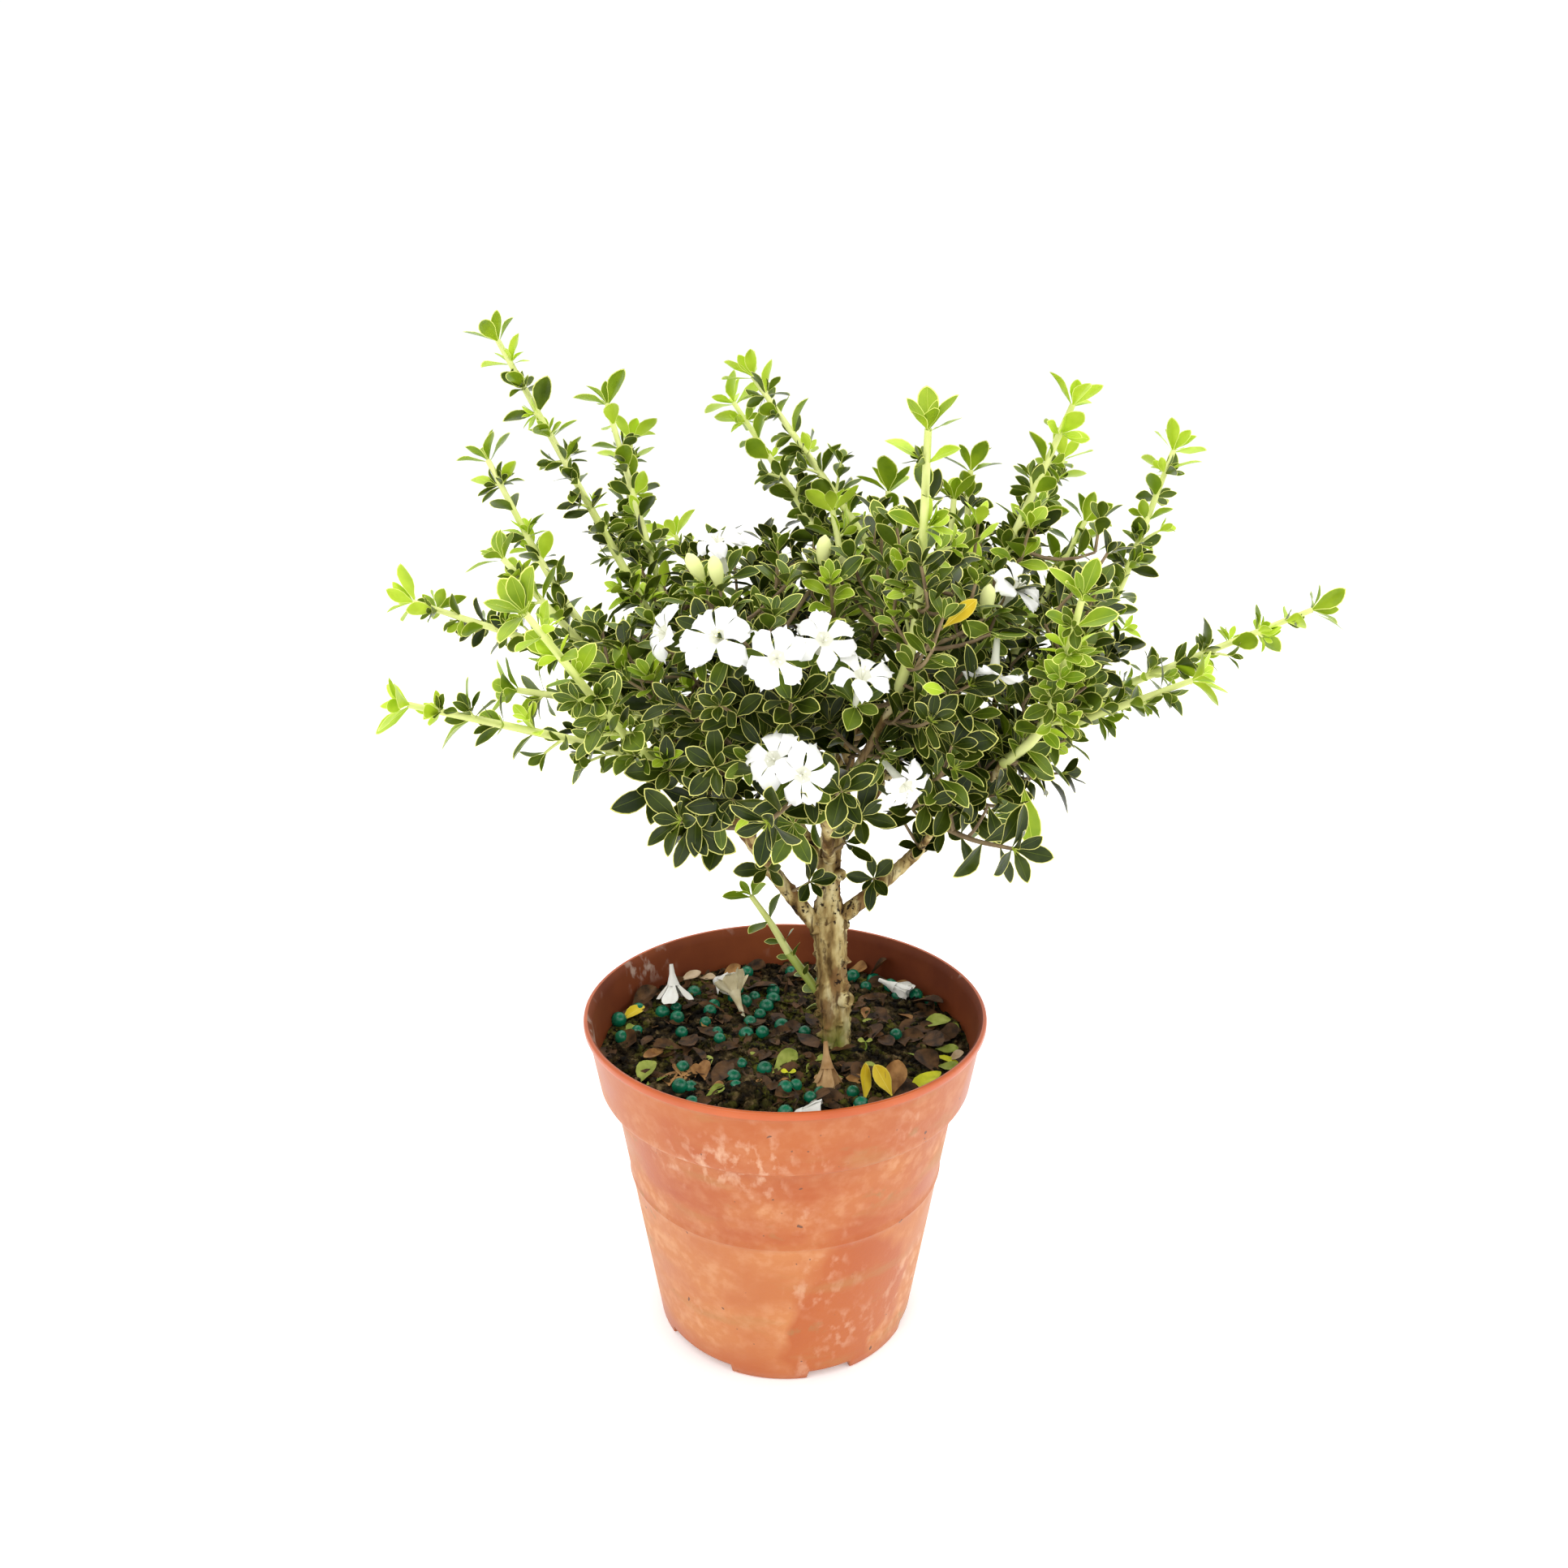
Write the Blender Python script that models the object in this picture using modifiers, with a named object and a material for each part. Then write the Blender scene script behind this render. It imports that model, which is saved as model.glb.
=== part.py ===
"""A small variegated serissa grown as a tree in a round plastic pot.

Model frame: metres, +Z up, origin at the centre of the pot's underside. The plant is seen from -Y.
Sizes below are written in millimetres times MM.
"""

import math
import random

import bmesh
import bpy
import numpy as np
from mathutils import Matrix, Vector

MM = 0.001

# Pot: a 12 cm plastic pot with a deep collar and a notched foot ring.
POT_STEPS = 32
RIM_R = 60.0 * MM
RIM_Z = 102.0 * MM
LIP_DROP = 2.2 * MM
COLLAR_Z = 80.0 * MM
COLLAR_R = 55.7 * MM
BODY_TOP_R = 52.2 * MM
LEDGE_Z = 51.4 * MM
LEDGE_STEP = 0.4 * MM
FOOT_R = 39.9 * MM
WALL = 1.3 * MM
PLATE_LOW = 3.0 * MM
PLATE_TOP = 5.0 * MM
EDGE = 0.6 * MM
LIP_PROUD = 0.7 * MM
PAD_R = 12.0 * MM
FOOT_RING = 1.7 * MM
NOTCH_HEIGHT = 2.7 * MM
NOTCHES = ((229.0, 36.0), (289.0, 18.5))
NOTCH_REPEAT = 3
NOTCH_ARC_STEPS = 4
CUT_PAST = 2.0 * MM
DRAIN_R = 3.0 * MM
DRAIN_RING_R = 28.0 * MM
DRAINS = 6
DRAIN_TURN = 19.0
DRAIN_SIDES = 10

# Soil: fills the pot to 13 mm below the rim, with a lumpy top.
SOIL_Z = 88.0 * MM
SOIL_GAP = 0.5 * MM
SOIL_LUMP = 1.0 * MM
LUMP_WAVES = (230.0, 270.0, 520.0, 410.0)
LUMP_FADE = 8.0 * MM
SOIL_RINGS = (12, 26, 40, 53)
FLAT_PATCH_R = 9.0 * MM

# Trunk: from the soil to its leader's tip. Each row is a place in mm, then the radius in mm.
TRUNK_LINE = (
    (15.6, -1.0, 88.4, 4.3),
    (15.4, -1.0, 92.0, 4.2),
    (15.0, -0.9, 97.0, 4.5),
    (14.6, -0.6, 103.0, 4.9),
    (14.0, -0.2, 109.0, 4.5),
    (13.8, 0.0, 115.0, 4.4),
    (13.4, 0.4, 123.0, 4.9),
    (12.9, 0.6, 130.0, 5.0),
    (12.8, 0.9, 137.0, 3.4),
    (13.0, 1.4, 150.0, 3.4),
    (15.4, 2.4, 166.0, 2.5),
    (18.4, 3.4, 181.0, 1.9),
    (21.0, 4.0, 193.0, 1.5),
)
TRUNK_SIDES = 10

# Boughs: parent, place along it (0 foot, 1 tip), tip in mm, foot radius, tip radius, upward bow in mm.
BOUGHS = {
    "bough_left": ("trunk", 0.33, (-28, -8, 188), 2.6, 1.3, -4),
    "bough_right": ("trunk", 0.37, (68, 4, 183), 2.4, 1.2, -3),
    "bough_back_left": ("trunk", 0.52, (-20, 28, 198), 2.0, 1.1, -3),
    "bough_back_right": ("trunk", 0.60, (52, 26, 204), 2.0, 1.1, -4),
    "bough_front": ("trunk", 0.56, (10, -36, 188), 1.9, 1.0, -4),
    "branch_low_left": ("bough_left", 0.62, (-32, -27, 180), 1.4, 0.9, -1),
    "branch_front_left": ("bough_left", 0.48, (-16, -34, 188), 1.4, 0.9, -2),
    "branch_left": ("bough_left", 0.78, (-44, 8, 196), 1.3, 0.9, -1),
    "branch_under_left": ("bough_left", 0.36, (-10, -24, 166), 1.2, 0.8, -1),
    "branch_left_tall": ("bough_back_left", 0.60, (-32, 12, 205), 1.3, 0.9, -1),
    "branch_back_low": ("bough_back_left", 0.45, (-8, 44, 188), 1.2, 0.9, -1),
    "branch_top_left": ("trunk", 0.86, (28, 18, 212), 1.2, 0.9, -1),
    "branch_top_back": ("trunk", 0.80, (10, 26, 208), 1.2, 0.9, -1),
    "branch_right_tall": ("trunk", 0.90, (42, -6, 208), 1.2, 0.9, -1),
    "branch_front_tall": ("bough_front", 0.60, (27, -36, 204), 1.2, 0.9, -1),
    "branch_front_upper": ("bough_front", 0.45, (-2, -22, 198), 1.2, 0.8, 0),
    "branch_front_right": ("bough_right", 0.58, (56, -30, 186), 1.3, 0.9, -1),
    "branch_under_right": ("bough_right", 0.40, (40, -26, 168), 1.2, 0.8, -1),
    "branch_right_mid": ("bough_right", 0.70, (62, 16, 194), 1.2, 0.9, 0),
    "branch_back": ("bough_back_right", 0.45, (20, 46, 192), 1.2, 0.9, -1),
    "branch_back_right": ("bough_back_right", 0.62, (50, 44, 196), 1.2, 0.9, -1),
    "branch_far_right": ("bough_back_right", 0.80, (70, 32, 200), 1.2, 0.9, -1),
    "shoot_low": ("trunk", 0.10, (1, 4, 117), 1.3, 1.2, 0),
}
BOUGH_SIDES = 6
BRANCH_SIDES = 5
BOUGH_POINTS = 7
BRANCH_POINTS = 3

# Masses of foliage: the limb they grow from, and the tips in mm of their long young shoots.
MASSES = {
    "mass_left_mid": ("bough_left", ((-79, -5, 240), (-88, 14, 262))),
    "mass_far_right": ("bough_right", ((156, 14, 221), (112, -20, 208))),
    "mass_left_back": ("bough_back_left", ((-56, 60, 279), (-50, 76, 262))),
    "mass_right_back": ("bough_back_right", ((87, 55, 263),)),
    "mass_front": ("bough_front", ((2, -70, 196),)),
    "mass_centre_top": ("trunk", ((29, 18, 256),)),
    "mass_low_left": ("branch_low_left", ((-94, -55, 209),)),
    "mass_front_left": ("branch_front_left", ((-58, -75, 236),)),
    "mass_left": ("branch_left", ((-114, 25, 221),)),
    "mass_under_left": ("branch_under_left", ((-30, -48, 172),)),
    "mass_left_tall": ("branch_left_tall", ((-84, 35, 297),)),
    "mass_back_low": ("branch_back_low", ((-40, 96, 236),)),
    "mass_top_left": ("branch_top_left", ((-13, 60, 287),)),
    "mass_top_back": ("branch_top_back", ((-19, 78, 262),)),
    "mass_right_tall": ("branch_right_tall", ((78, 5, 281),)),
    "mass_front_tall": ("branch_front_tall", ((30, -65, 275),)),
    "mass_front_upper": ("branch_front_upper", ((-18, -42, 222),)),
    "mass_front_right": ("branch_front_right", ((67, -62, 238),)),
    "mass_under_right": ("branch_under_right", ((56, -50, 170),)),
    "mass_right_mid": ("branch_right_mid", ((92, 40, 246),)),
    "mass_back": ("branch_back", ((16, 108, 244),)),
    "mass_back_right": ("branch_back_right", ((84, 92, 238),)),
    "mass_far_right_back": ("branch_far_right", ((122, 60, 266),)),
    "mass_shoot_low": ("shoot_low", ((-10, 0, 137),)),
}
# Blossoms: the middle of each open flower, in mm.
BLOSSOMS = (
    (-16, -50, 223),
    (-2, -58, 219),
    (9, -48, 224),
    (18, -50, 214),
    (-3, -52, 191),
    (6, -56, 188),
    (30, -46, 184),
    (50, -40, 212),
    (58, -22, 231),
    (-30, -30, 221),
    (-20, 0, 239),
    (29, 2, 245),
    (-34, 50, 214),
    (12, 62, 222),
    (48, 66, 210),
    (24, 46, 236),
)

# Distances at which doubled points are welded: on a swept limb, and on a joined mass.
WELD = 0.01 * MM
FINE_WELD = 0.001 * MM

# Growth rule of a mass.
FIRST_SEED = 100
GAP = 0.35 * MM
STEM_R = 1.2 * MM
SHOOT_TIP_R = 0.6 * MM
SHOOT_SAG = -0.03
STRAIGHT_START = 1.5 * MM
SHOOT_FORK = 0.2
TWIG_R = 0.8 * MM
TWIG_TIP_R = 0.5 * MM
TWIG_POINTS = 3
TWIG_CLEAR = 1.2 * MM
LEAF_CLEAR = 0.5 * MM
NODE_SPACING = 22.0 * MM
BEND_SPACING = 34.0 * MM
STEM_SIDES = 3
SHOOT_LEAF = 13.0 * MM
CROWN_LEAF = 17.5 * MM
LEAF_SHARE = 0.52
LEAF_THICK = 0.5 * MM
LEAF_SUNK = 0.02
LEAF_WIDEST = 0.14
LEAF_FOLD = 0.16
LEAF_DROOP = 0.10
BLOSSOM_R = 7.5 * MM
BLOSSOM_LENGTH = 9.0 * MM
PETALS = 6
PETAL_NOTCH = 0.45
JOIN_TRIES = 8
WHORL_STEP = 0.7 * MM
TIP_LEAVES = 4
TWIG_LEAVES = 3
SHOOT_SPREAD = 52.0
TIP_SPREAD = 34.0
CROWN_SPREAD = 58.0
TWIG_TRIES = 700
TWIGS_EACH = 5
TWIG_SPACING = 18.0 * MM
TWIG_SHORTEST = 9.0 * MM
TWIG_REACH = 34.0 * MM
TWIG_SAG = -0.08
BLOSSOM_REACH = 52.0 * MM
TWIG_FEET = (0.06, 0.12, 0.20, 0.30, 0.42)
CROWN_CENTRE = (14.0 * MM, 2.0 * MM)
CROWN_R = (80.0 * MM, 72.0 * MM)
CROWN_LOW = 166.0 * MM
CROWN_HIGH = 236.0 * MM
CROWN_SHELL = 0.52
LOWEST_LEAF = 98.0 * MM


def clear_scene():
    for obj in list(bpy.data.objects):
        bpy.data.objects.remove(obj)


def collection(name):
    made = bpy.data.collections.new(name)
    bpy.context.scene.collection.children.link(made)
    return made


def material(name, colour, roughness):
    made = bpy.data.materials.new(name)
    made.use_nodes = True
    shader = made.node_tree.nodes["Principled BSDF"]
    shader.inputs["Base Color"].default_value = (*colour, 1.0)
    shader.inputs["Roughness"].default_value = roughness
    shader.inputs["Metallic"].default_value = 0.0
    made.diffuse_color = (*colour, 1.0)
    return made


def mesh_object(name, mesh, home, finish=None):
    obj = bpy.data.objects.new(name, mesh)
    home.objects.link(obj)
    if finish:
        mesh.materials.clear()
        mesh.materials.append(finish)
    return obj


def evaluated_mesh(obj, weld=WELD):
    """The object's mesh as the viewport draws it, with doubled points welded."""
    graph = bpy.context.evaluated_depsgraph_get()
    mesh = bpy.data.meshes.new_from_object(obj.evaluated_get(graph), depsgraph=graph)
    work = bmesh.new()
    work.from_mesh(mesh)
    bmesh.ops.remove_doubles(work, verts=work.verts, dist=weld)
    bmesh.ops.recalc_face_normals(work, faces=work.faces)
    work.to_mesh(mesh)
    work.free()
    return mesh


def open_seams(mesh):
    """Middles of the edges that don't join exactly two faces."""
    work = bmesh.new()
    work.from_mesh(mesh)
    seams = [(e.verts[0].co + e.verts[1].co) / 2 for e in work.edges if len(e.link_faces) != 2]
    work.free()
    return seams


def baked(obj, name, home, finish):
    """A plain mesh object that replaces one with modifiers or a curve."""
    mesh = evaluated_mesh(obj)
    mesh.transform(obj.matrix_world)
    bpy.data.objects.remove(obj)
    return mesh_object(name, mesh, home, finish)


def arc_path(start, end, bow, count):
    """Points from start to end on a curve whose middle is lifted by bow."""
    start, end = Vector(start), Vector(end)
    middle = (start + end) / 2 + Vector((0, 0, 2 * bow))
    points = []
    for i in range(count):
        t = i / (count - 1)
        points.append(start * (1 - t) ** 2 + middle * (2 * t * (1 - t)) + end * t * t)
    return points


def taper(foot_r, tip_r, count):
    """Radii that fall evenly from a limb's foot to its tip."""
    return [foot_r + (tip_r - foot_r) * i / (count - 1) for i in range(count)]


def place_along(points, share):
    """The point at that share of a path's length, and the direction there."""
    lengths = [(b - a).length for a, b in zip(points, points[1:])]
    left = share * sum(lengths)
    for a, b, length in zip(points, points[1:], lengths):
        if left <= length:
            return a.lerp(b, left / length), (b - a).normalized()
        left -= length
    return points[-1].copy(), (points[-1] - points[-2]).normalized()


def ring_section(sides, home):
    """A closed polygon of radius 1 that a curve sweeps; the curve's own radii give the real size."""
    curve = bpy.data.curves.new(f"section_{sides}", "CURVE")
    spline = curve.splines.new("POLY")
    spline.points.add(sides - 1)
    for i, point in enumerate(spline.points):
        turn = 2 * math.pi * i / sides
        point.co = (math.cos(turn), math.sin(turn), 0, 1)
    spline.use_cyclic_u = True
    obj = bpy.data.objects.new(curve.name, curve)
    home.objects.link(obj)
    obj.hide_render = True
    return obj


def tube(name, points, radii, sides, home, finish=None):
    """A tapering limb: a section swept along a path, with its caps welded."""
    section = SECTIONS.get(sides) or SECTIONS.setdefault(sides, ring_section(sides, GUIDES))
    curve = bpy.data.curves.new(name + "_line", "CURVE")
    curve.dimensions = "3D"
    curve.bevel_mode = "OBJECT"
    curve.bevel_object = section
    curve.use_fill_caps = True
    spline = curve.splines.new("POLY")
    spline.points.add(len(points) - 1)
    for point, place, radius in zip(spline.points, points, radii):
        point.co = (*place, 1)
        point.radius = radius
    line = bpy.data.objects.new(curve.name, curve)
    home.objects.link(line)
    return baked(line, name, home, finish)


def boolean(obj, operation, target=None, group=None, weld=WELD):
    """Applies one exact Boolean with an object or a collection."""
    modifier = obj.modifiers.new(operation.lower(), "BOOLEAN")
    modifier.operation = operation
    modifier.solver = "EXACT"
    if group:
        modifier.operand_type = "COLLECTION"
        modifier.collection = group
    else:
        modifier.object = target
    mesh = evaluated_mesh(obj, weld)
    obj.modifiers.clear()
    obj.data = mesh


def empty_out(group):
    for obj in list(group.objects):
        bpy.data.objects.remove(obj)


def screwed(name, profile, steps, home, finish):
    """A turned solid: a profile in X and Z with a Screw modifier about Z."""
    mesh = bpy.data.meshes.new(name)
    points = [(x, 0.0, z) for x, z in profile]
    mesh.from_pydata(points, [(i, i + 1) for i in range(len(points) - 1)], [])
    obj = mesh_object(name, mesh, home)
    screw = obj.modifiers.new("turn", "SCREW")
    screw.steps = screw.render_steps = steps
    screw.use_merge_vertices = True
    screw.merge_threshold = 0.05 * MM
    return baked(obj, name, home, finish)


def body_radius(z):
    """Outer radius of the pot's body at a height."""
    return FOOT_R + (BODY_TOP_R - FOOT_R) * z / COLLAR_Z


def collar_radius(z):
    """Outer radius of the pot's collar at a height."""
    return COLLAR_R + (RIM_R - LIP_PROUD - COLLAR_R) * (z - COLLAR_Z) / (RIM_Z - COLLAR_Z)


def pot_inner_wall():
    """The inside of the pot from the floor up to the rim, as (radius, height)."""
    return [
        (body_radius(PLATE_TOP) - WALL, PLATE_TOP),
        (body_radius(COLLAR_Z) - WALL, COLLAR_Z - 1.0 * MM),
        (collar_radius(COLLAR_Z + 3.0 * MM) - WALL, COLLAR_Z + 2.0 * MM),
        (collar_radius(RIM_Z) - WALL, RIM_Z - EDGE),
    ]


def pot_profile():
    """The pot's whole section: from the floor's centre up the inside, over the rim and down the outside."""
    inside = pot_inner_wall()
    rim = [
        (inside[-1][0] + EDGE, RIM_Z),
        (RIM_R - EDGE / 2, RIM_Z),
        (RIM_R, RIM_Z - EDGE),
        (RIM_R, RIM_Z - LIP_DROP),
        (collar_radius(RIM_Z - LIP_DROP), RIM_Z - LIP_DROP - EDGE),
    ]
    collar = [
        (COLLAR_R, COLLAR_Z + EDGE),
        (COLLAR_R - EDGE, COLLAR_Z),
        (body_radius(COLLAR_Z), COLLAR_Z - EDGE / 3),
    ]
    body = [
        (body_radius(LEDGE_Z) + LEDGE_STEP, LEDGE_Z),
        (body_radius(LEDGE_Z), LEDGE_Z - EDGE),
        (body_radius(PLATE_TOP), PLATE_TOP),
    ]
    foot = [
        (FOOT_R, 0.0),
        (FOOT_R - FOOT_RING, 0.0),
        (FOOT_R - FOOT_RING - EDGE / 2, PLATE_LOW),
        (PAD_R + EDGE, PLATE_LOW),
        (PAD_R, 0.0),
    ]
    return [(0.0, PLATE_TOP)] + inside + rim + collar + body + foot + [(0.0, 0.0)]


def notch_cutter(centre_deg, width_deg, home):
    """A flat sector that cuts one drainage notch through the foot ring."""
    inner, outer = FOOT_R - FOOT_RING - CUT_PAST, FOOT_R + CUT_PAST
    curve = bpy.data.curves.new("notch", "CURVE")
    curve.dimensions = "2D"
    curve.fill_mode = "BOTH"
    curve.extrude = (NOTCH_HEIGHT + CUT_PAST) / 2
    spline = curve.splines.new("POLY")
    steps = range(NOTCH_ARC_STEPS + 1)
    turns = [math.radians(centre_deg + width_deg * (i / NOTCH_ARC_STEPS - 0.5)) for i in steps]
    outline = [(outer, a) for a in turns] + [(inner, a) for a in reversed(turns)]
    spline.points.add(len(outline) - 1)
    for point, (radius, angle) in zip(spline.points, outline):
        point.co = (radius * math.cos(angle), radius * math.sin(angle), 0, 1)
    spline.use_cyclic_u = True
    line = bpy.data.objects.new("notch_line", curve)
    home.objects.link(line)
    line.location.z = (NOTCH_HEIGHT - CUT_PAST) / 2
    bpy.context.view_layer.update()
    cutter = baked(line, "notch", home, None)
    cutter.hide_render = True
    cutter.display_type = "WIRE"
    return cutter


def drain_cutter(angle_deg, home):
    """A round drain hole through the base plate."""
    mesh = bpy.data.meshes.new("drain")
    work = bmesh.new()
    bmesh.ops.create_cone(
        work, cap_ends=True, segments=DRAIN_SIDES, radius1=DRAIN_R, radius2=DRAIN_R, depth=4 * PLATE_TOP
    )
    turn = math.radians(angle_deg)
    place = (DRAIN_RING_R * math.cos(turn), DRAIN_RING_R * math.sin(turn), PLATE_TOP)
    bmesh.ops.translate(work, verts=work.verts, vec=place)
    work.to_mesh(mesh)
    work.free()
    cutter = mesh_object("drain", mesh, home)
    cutter.hide_render = True
    cutter.display_type = "WIRE"
    return cutter


def build_pot():
    """The pot: a turned shell with notches through its foot ring and drain holes through its floor."""
    pot = screwed("pot", pot_profile(), POT_STEPS, PLANT, FINISHES["terracotta"])
    cutters = []
    for centre, width in NOTCHES:
        for k in range(NOTCH_REPEAT):
            cutters.append(notch_cutter(centre + k * 360 / NOTCH_REPEAT, width, CUTTERS))
    for k in range(DRAINS):
        cutters.append(drain_cutter(k * 360 / DRAINS + DRAIN_TURN, CUTTERS))
    for cutter in cutters:
        boolean(pot, "DIFFERENCE", target=cutter)
    empty_out(CUTTERS)


def soil_height(x, y):
    """Lumps of the soil's top, level round the trunk's foot."""
    away = math.hypot(x - TRUNK_LINE[0][0] * MM, y - TRUNK_LINE[0][1] * MM)
    fade = min(1.0, max(0.0, (away - FLAT_PATCH_R) / LUMP_FADE))
    across, along, fine_across, fine_along = LUMP_WAVES
    wave = math.sin(x * across + 1) * math.cos(y * along) + math.sin(x * fine_across - y * fine_along) / 2
    return SOIL_Z + SOIL_LUMP * fade * wave


def build_soil():
    """The soil: a turned solid that fills the pot's inside, with lumps on its top."""
    wall = [(r - SOIL_GAP, z) for r, z in pot_inner_wall()]
    top_r = collar_radius(SOIL_Z) - WALL - SOIL_GAP
    rings = [(r * MM, SOIL_Z) for r in SOIL_RINGS]
    side = [(top_r, SOIL_Z - EDGE), wall[2], wall[1], (wall[0][0], PLATE_TOP + SOIL_GAP)]
    profile = [(0.0, SOIL_Z)] + rings + side + [(0.0, PLATE_TOP + SOIL_GAP)]
    soil = screwed("soil", profile, POT_STEPS, PLANT, FINISHES["soil"])
    for vertex in soil.data.vertices:
        if vertex.co.z > SOIL_Z - EDGE / 2:
            vertex.co.z = soil_height(vertex.co.x, vertex.co.y)


def limb_lines():
    """Every limb's path and radii, from the trunk outwards."""
    lines = {
        "trunk": (
            [Vector(row[:3]) * MM for row in TRUNK_LINE],
            [row[3] * MM for row in TRUNK_LINE],
        )
    }
    for name, (parent, share, tip, foot_r, tip_r, bow) in BOUGHS.items():
        foot, _ = place_along(lines[parent][0], share)
        count = BOUGH_POINTS if name.startswith("bough") else BRANCH_POINTS
        path = arc_path(foot, Vector(tip) * MM, bow * MM, count)
        lines[name] = (path, taper(foot_r * MM, tip_r * MM, count))
    return lines


def limb_sides(name):
    if name == "trunk":
        return TRUNK_SIDES
    return BOUGH_SIDES if name.startswith("bough") else BRANCH_SIDES


def build_limbs(lines):
    """The trunk and its boughs. Each bough's foot is cut 0.35 mm clear of what it grows from."""
    limbs = {}
    for name, (path, radii) in lines.items():
        sides = limb_sides(name)
        limb = tube(name, path, radii, sides, PLANT, FINISHES["bark"])
        for other in limbs:
            grown = [radius + GAP for radius in lines[other][1]]
            swell = tube("clearance", lines[other][0], grown, TRUNK_SIDES, CUTTERS)
            if touches(limb, swell):
                boolean(limb, "DIFFERENCE", target=swell)
            empty_out(CUTTERS)
        limbs[name] = limb


def box_of(obj):
    places = np.array([v.co for v in obj.data.vertices])
    return places.min(0), places.max(0)


def touches(a, b):
    (a_low, a_high), (b_low, b_high) = box_of(a), box_of(b)
    return bool((a_low < b_high).all() and (b_low < a_high).all())


def to_segments(paths):
    """Start points, end points and radii of every straight piece of some (path, radii) pairs."""
    starts, ends, sizes = [], [], []
    for path, radii in paths:
        for i in range(len(path) - 1):
            starts.append(path[i])
            ends.append(path[i + 1])
            sizes.append(max(radii[i], radii[i + 1]))
    return np.array(starts), np.array(ends), np.array(sizes)


def distances(points, segments):
    """Distance of each point to each piece's surface."""
    starts, ends, sizes = segments
    points = np.asarray(points, float).reshape(-1, 3)
    along = ends - starts
    length = (along**2).sum(1)
    offset = points[:, None] - starts[None]
    share = np.clip((offset * along[None]).sum(2) / length[None], 0, 1)
    nearest = starts[None] + share[..., None] * along[None]
    return np.linalg.norm(points[:, None] - nearest, axis=2) - sizes[None]


class Space:
    """The room of each mass: nearer to its own shoots than to any other mass, and clear of the limbs."""

    def __init__(self, shoots, flowers, limb_segments):
        self.cells = {name: to_segments(paths + flowers[name]) for name, paths in shoots.items()}
        self.limbs = limb_segments

    def holds(self, name, points, margin):
        own = distances(points, self.cells[name]).min(1)
        for other, cell in self.cells.items():
            if other != name and (distances(points, cell).min(1) < own + 2 * margin).any():
                return False
        if (np.asarray(points)[:, 2] < LOWEST_LEAF).any():
            return False
        return bool((distances(points, self.limbs) > margin).all())


def shoot_lines(lines):
    """Each mass's long shoots: the first starts just past its limb's tip, and the others fork from it."""
    shoots = {}
    for name, (limb, tips) in MASSES.items():
        path, _ = lines[limb]
        heading = (path[-1] - path[-2]).normalized()
        foot = path[-1] + heading * GAP
        made = []
        for tip in tips:
            start = place_along(made[0][0], SHOOT_FORK)[0] if made else foot
            end = Vector(tip) * MM
            reach = (end - start).length
            line = arc_path(start, end, SHOOT_SAG * reach, max(3, round(reach / BEND_SPACING) + 1))
            if not made:
                line.insert(1, foot + heading * STRAIGHT_START)
            made.append((line, taper(STEM_R, SHOOT_TIP_R, len(line))))
        shoots[name] = made
    return shoots


def flower_way(middle):
    """The direction in which a flower at that place looks: away from the crown's heart."""
    return (middle - Vector((*CROWN_CENTRE, CROWN_LOW))).normalized()


def flower_twigs(shoots, limb_segments):
    """A twig to the back of each blossom, from the nearest shoot with a clear way to it."""
    flowers = {name: [] for name in shoots}
    for place in BLOSSOMS:
        middle = Vector(place) * MM
        back = middle - flower_way(middle) * (BLOSSOM_LENGTH - 1 * MM)
        ways = []
        for name, paths in shoots.items():
            for share in TWIG_FEET:
                ways.append(((place_along(paths[0][0], share)[0] - back).length, name, share))
        for reach, name, share in sorted(ways):
            path = arc_path(place_along(shoots[name][0][0], share)[0], back, TWIG_SAG * reach, TWIG_POINTS)
            places = path_points(path)
            others = [pair for other in shoots if other != name for pair in shoots[other] + flowers[other]]
            nearest = min(distances(places, kind).min() for kind in (limb_segments, to_segments(others)))
            if reach < BLOSSOM_REACH and nearest > TWIG_R + TWIG_CLEAR:
                flowers[name].append((path, taper(TWIG_R, TWIG_TIP_R, TWIG_POINTS)))
                break
    return flowers


def sideways(direction, roll):
    """A direction square to a heading, turned about it by roll."""
    side = direction.cross(Vector((0, 0, 1)))
    if side.length < 0.05:
        side = direction.cross(Vector((0, 1, 0)))
    side.normalize()
    other = direction.cross(side)
    return side * math.cos(roll) + other * math.sin(roll)


def leaf_mesh(foot, heading, up, length, width):
    """A blade of eight faces: a flattened four-sided ball, widest past its middle, its tip drooping."""
    work = bmesh.new()
    bmesh.ops.create_uvsphere(work, u_segments=4, v_segments=2, radius=1.0)
    for vertex in work.verts:
        x, y, z = vertex.co
        place = (x, y, 0.0)
        if abs(z) > 0.5:
            place = (LEAF_WIDEST, 0.0, z * LEAF_THICK / length)
        if abs(y) > 0.5:
            place = (LEAF_WIDEST, y, LEAF_FOLD * width / length)
        if x > 0.5:
            place = (x, 0.0, -LEAF_DROOP)
        vertex.co = (place[0] * length / 2, place[1] * width / 2, place[2] * length / 2)
    across = up.cross(heading).normalized()
    above = heading.cross(across).normalized()
    turn = Matrix((heading, across, above)).transposed().to_4x4()
    turn.translation = foot + heading * length * (0.5 - LEAF_SUNK)
    work.transform(turn)
    bmesh.ops.recalc_face_normals(work, faces=work.faces)
    mesh = bpy.data.meshes.new("leaf")
    work.to_mesh(mesh)
    work.free()
    return mesh


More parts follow.
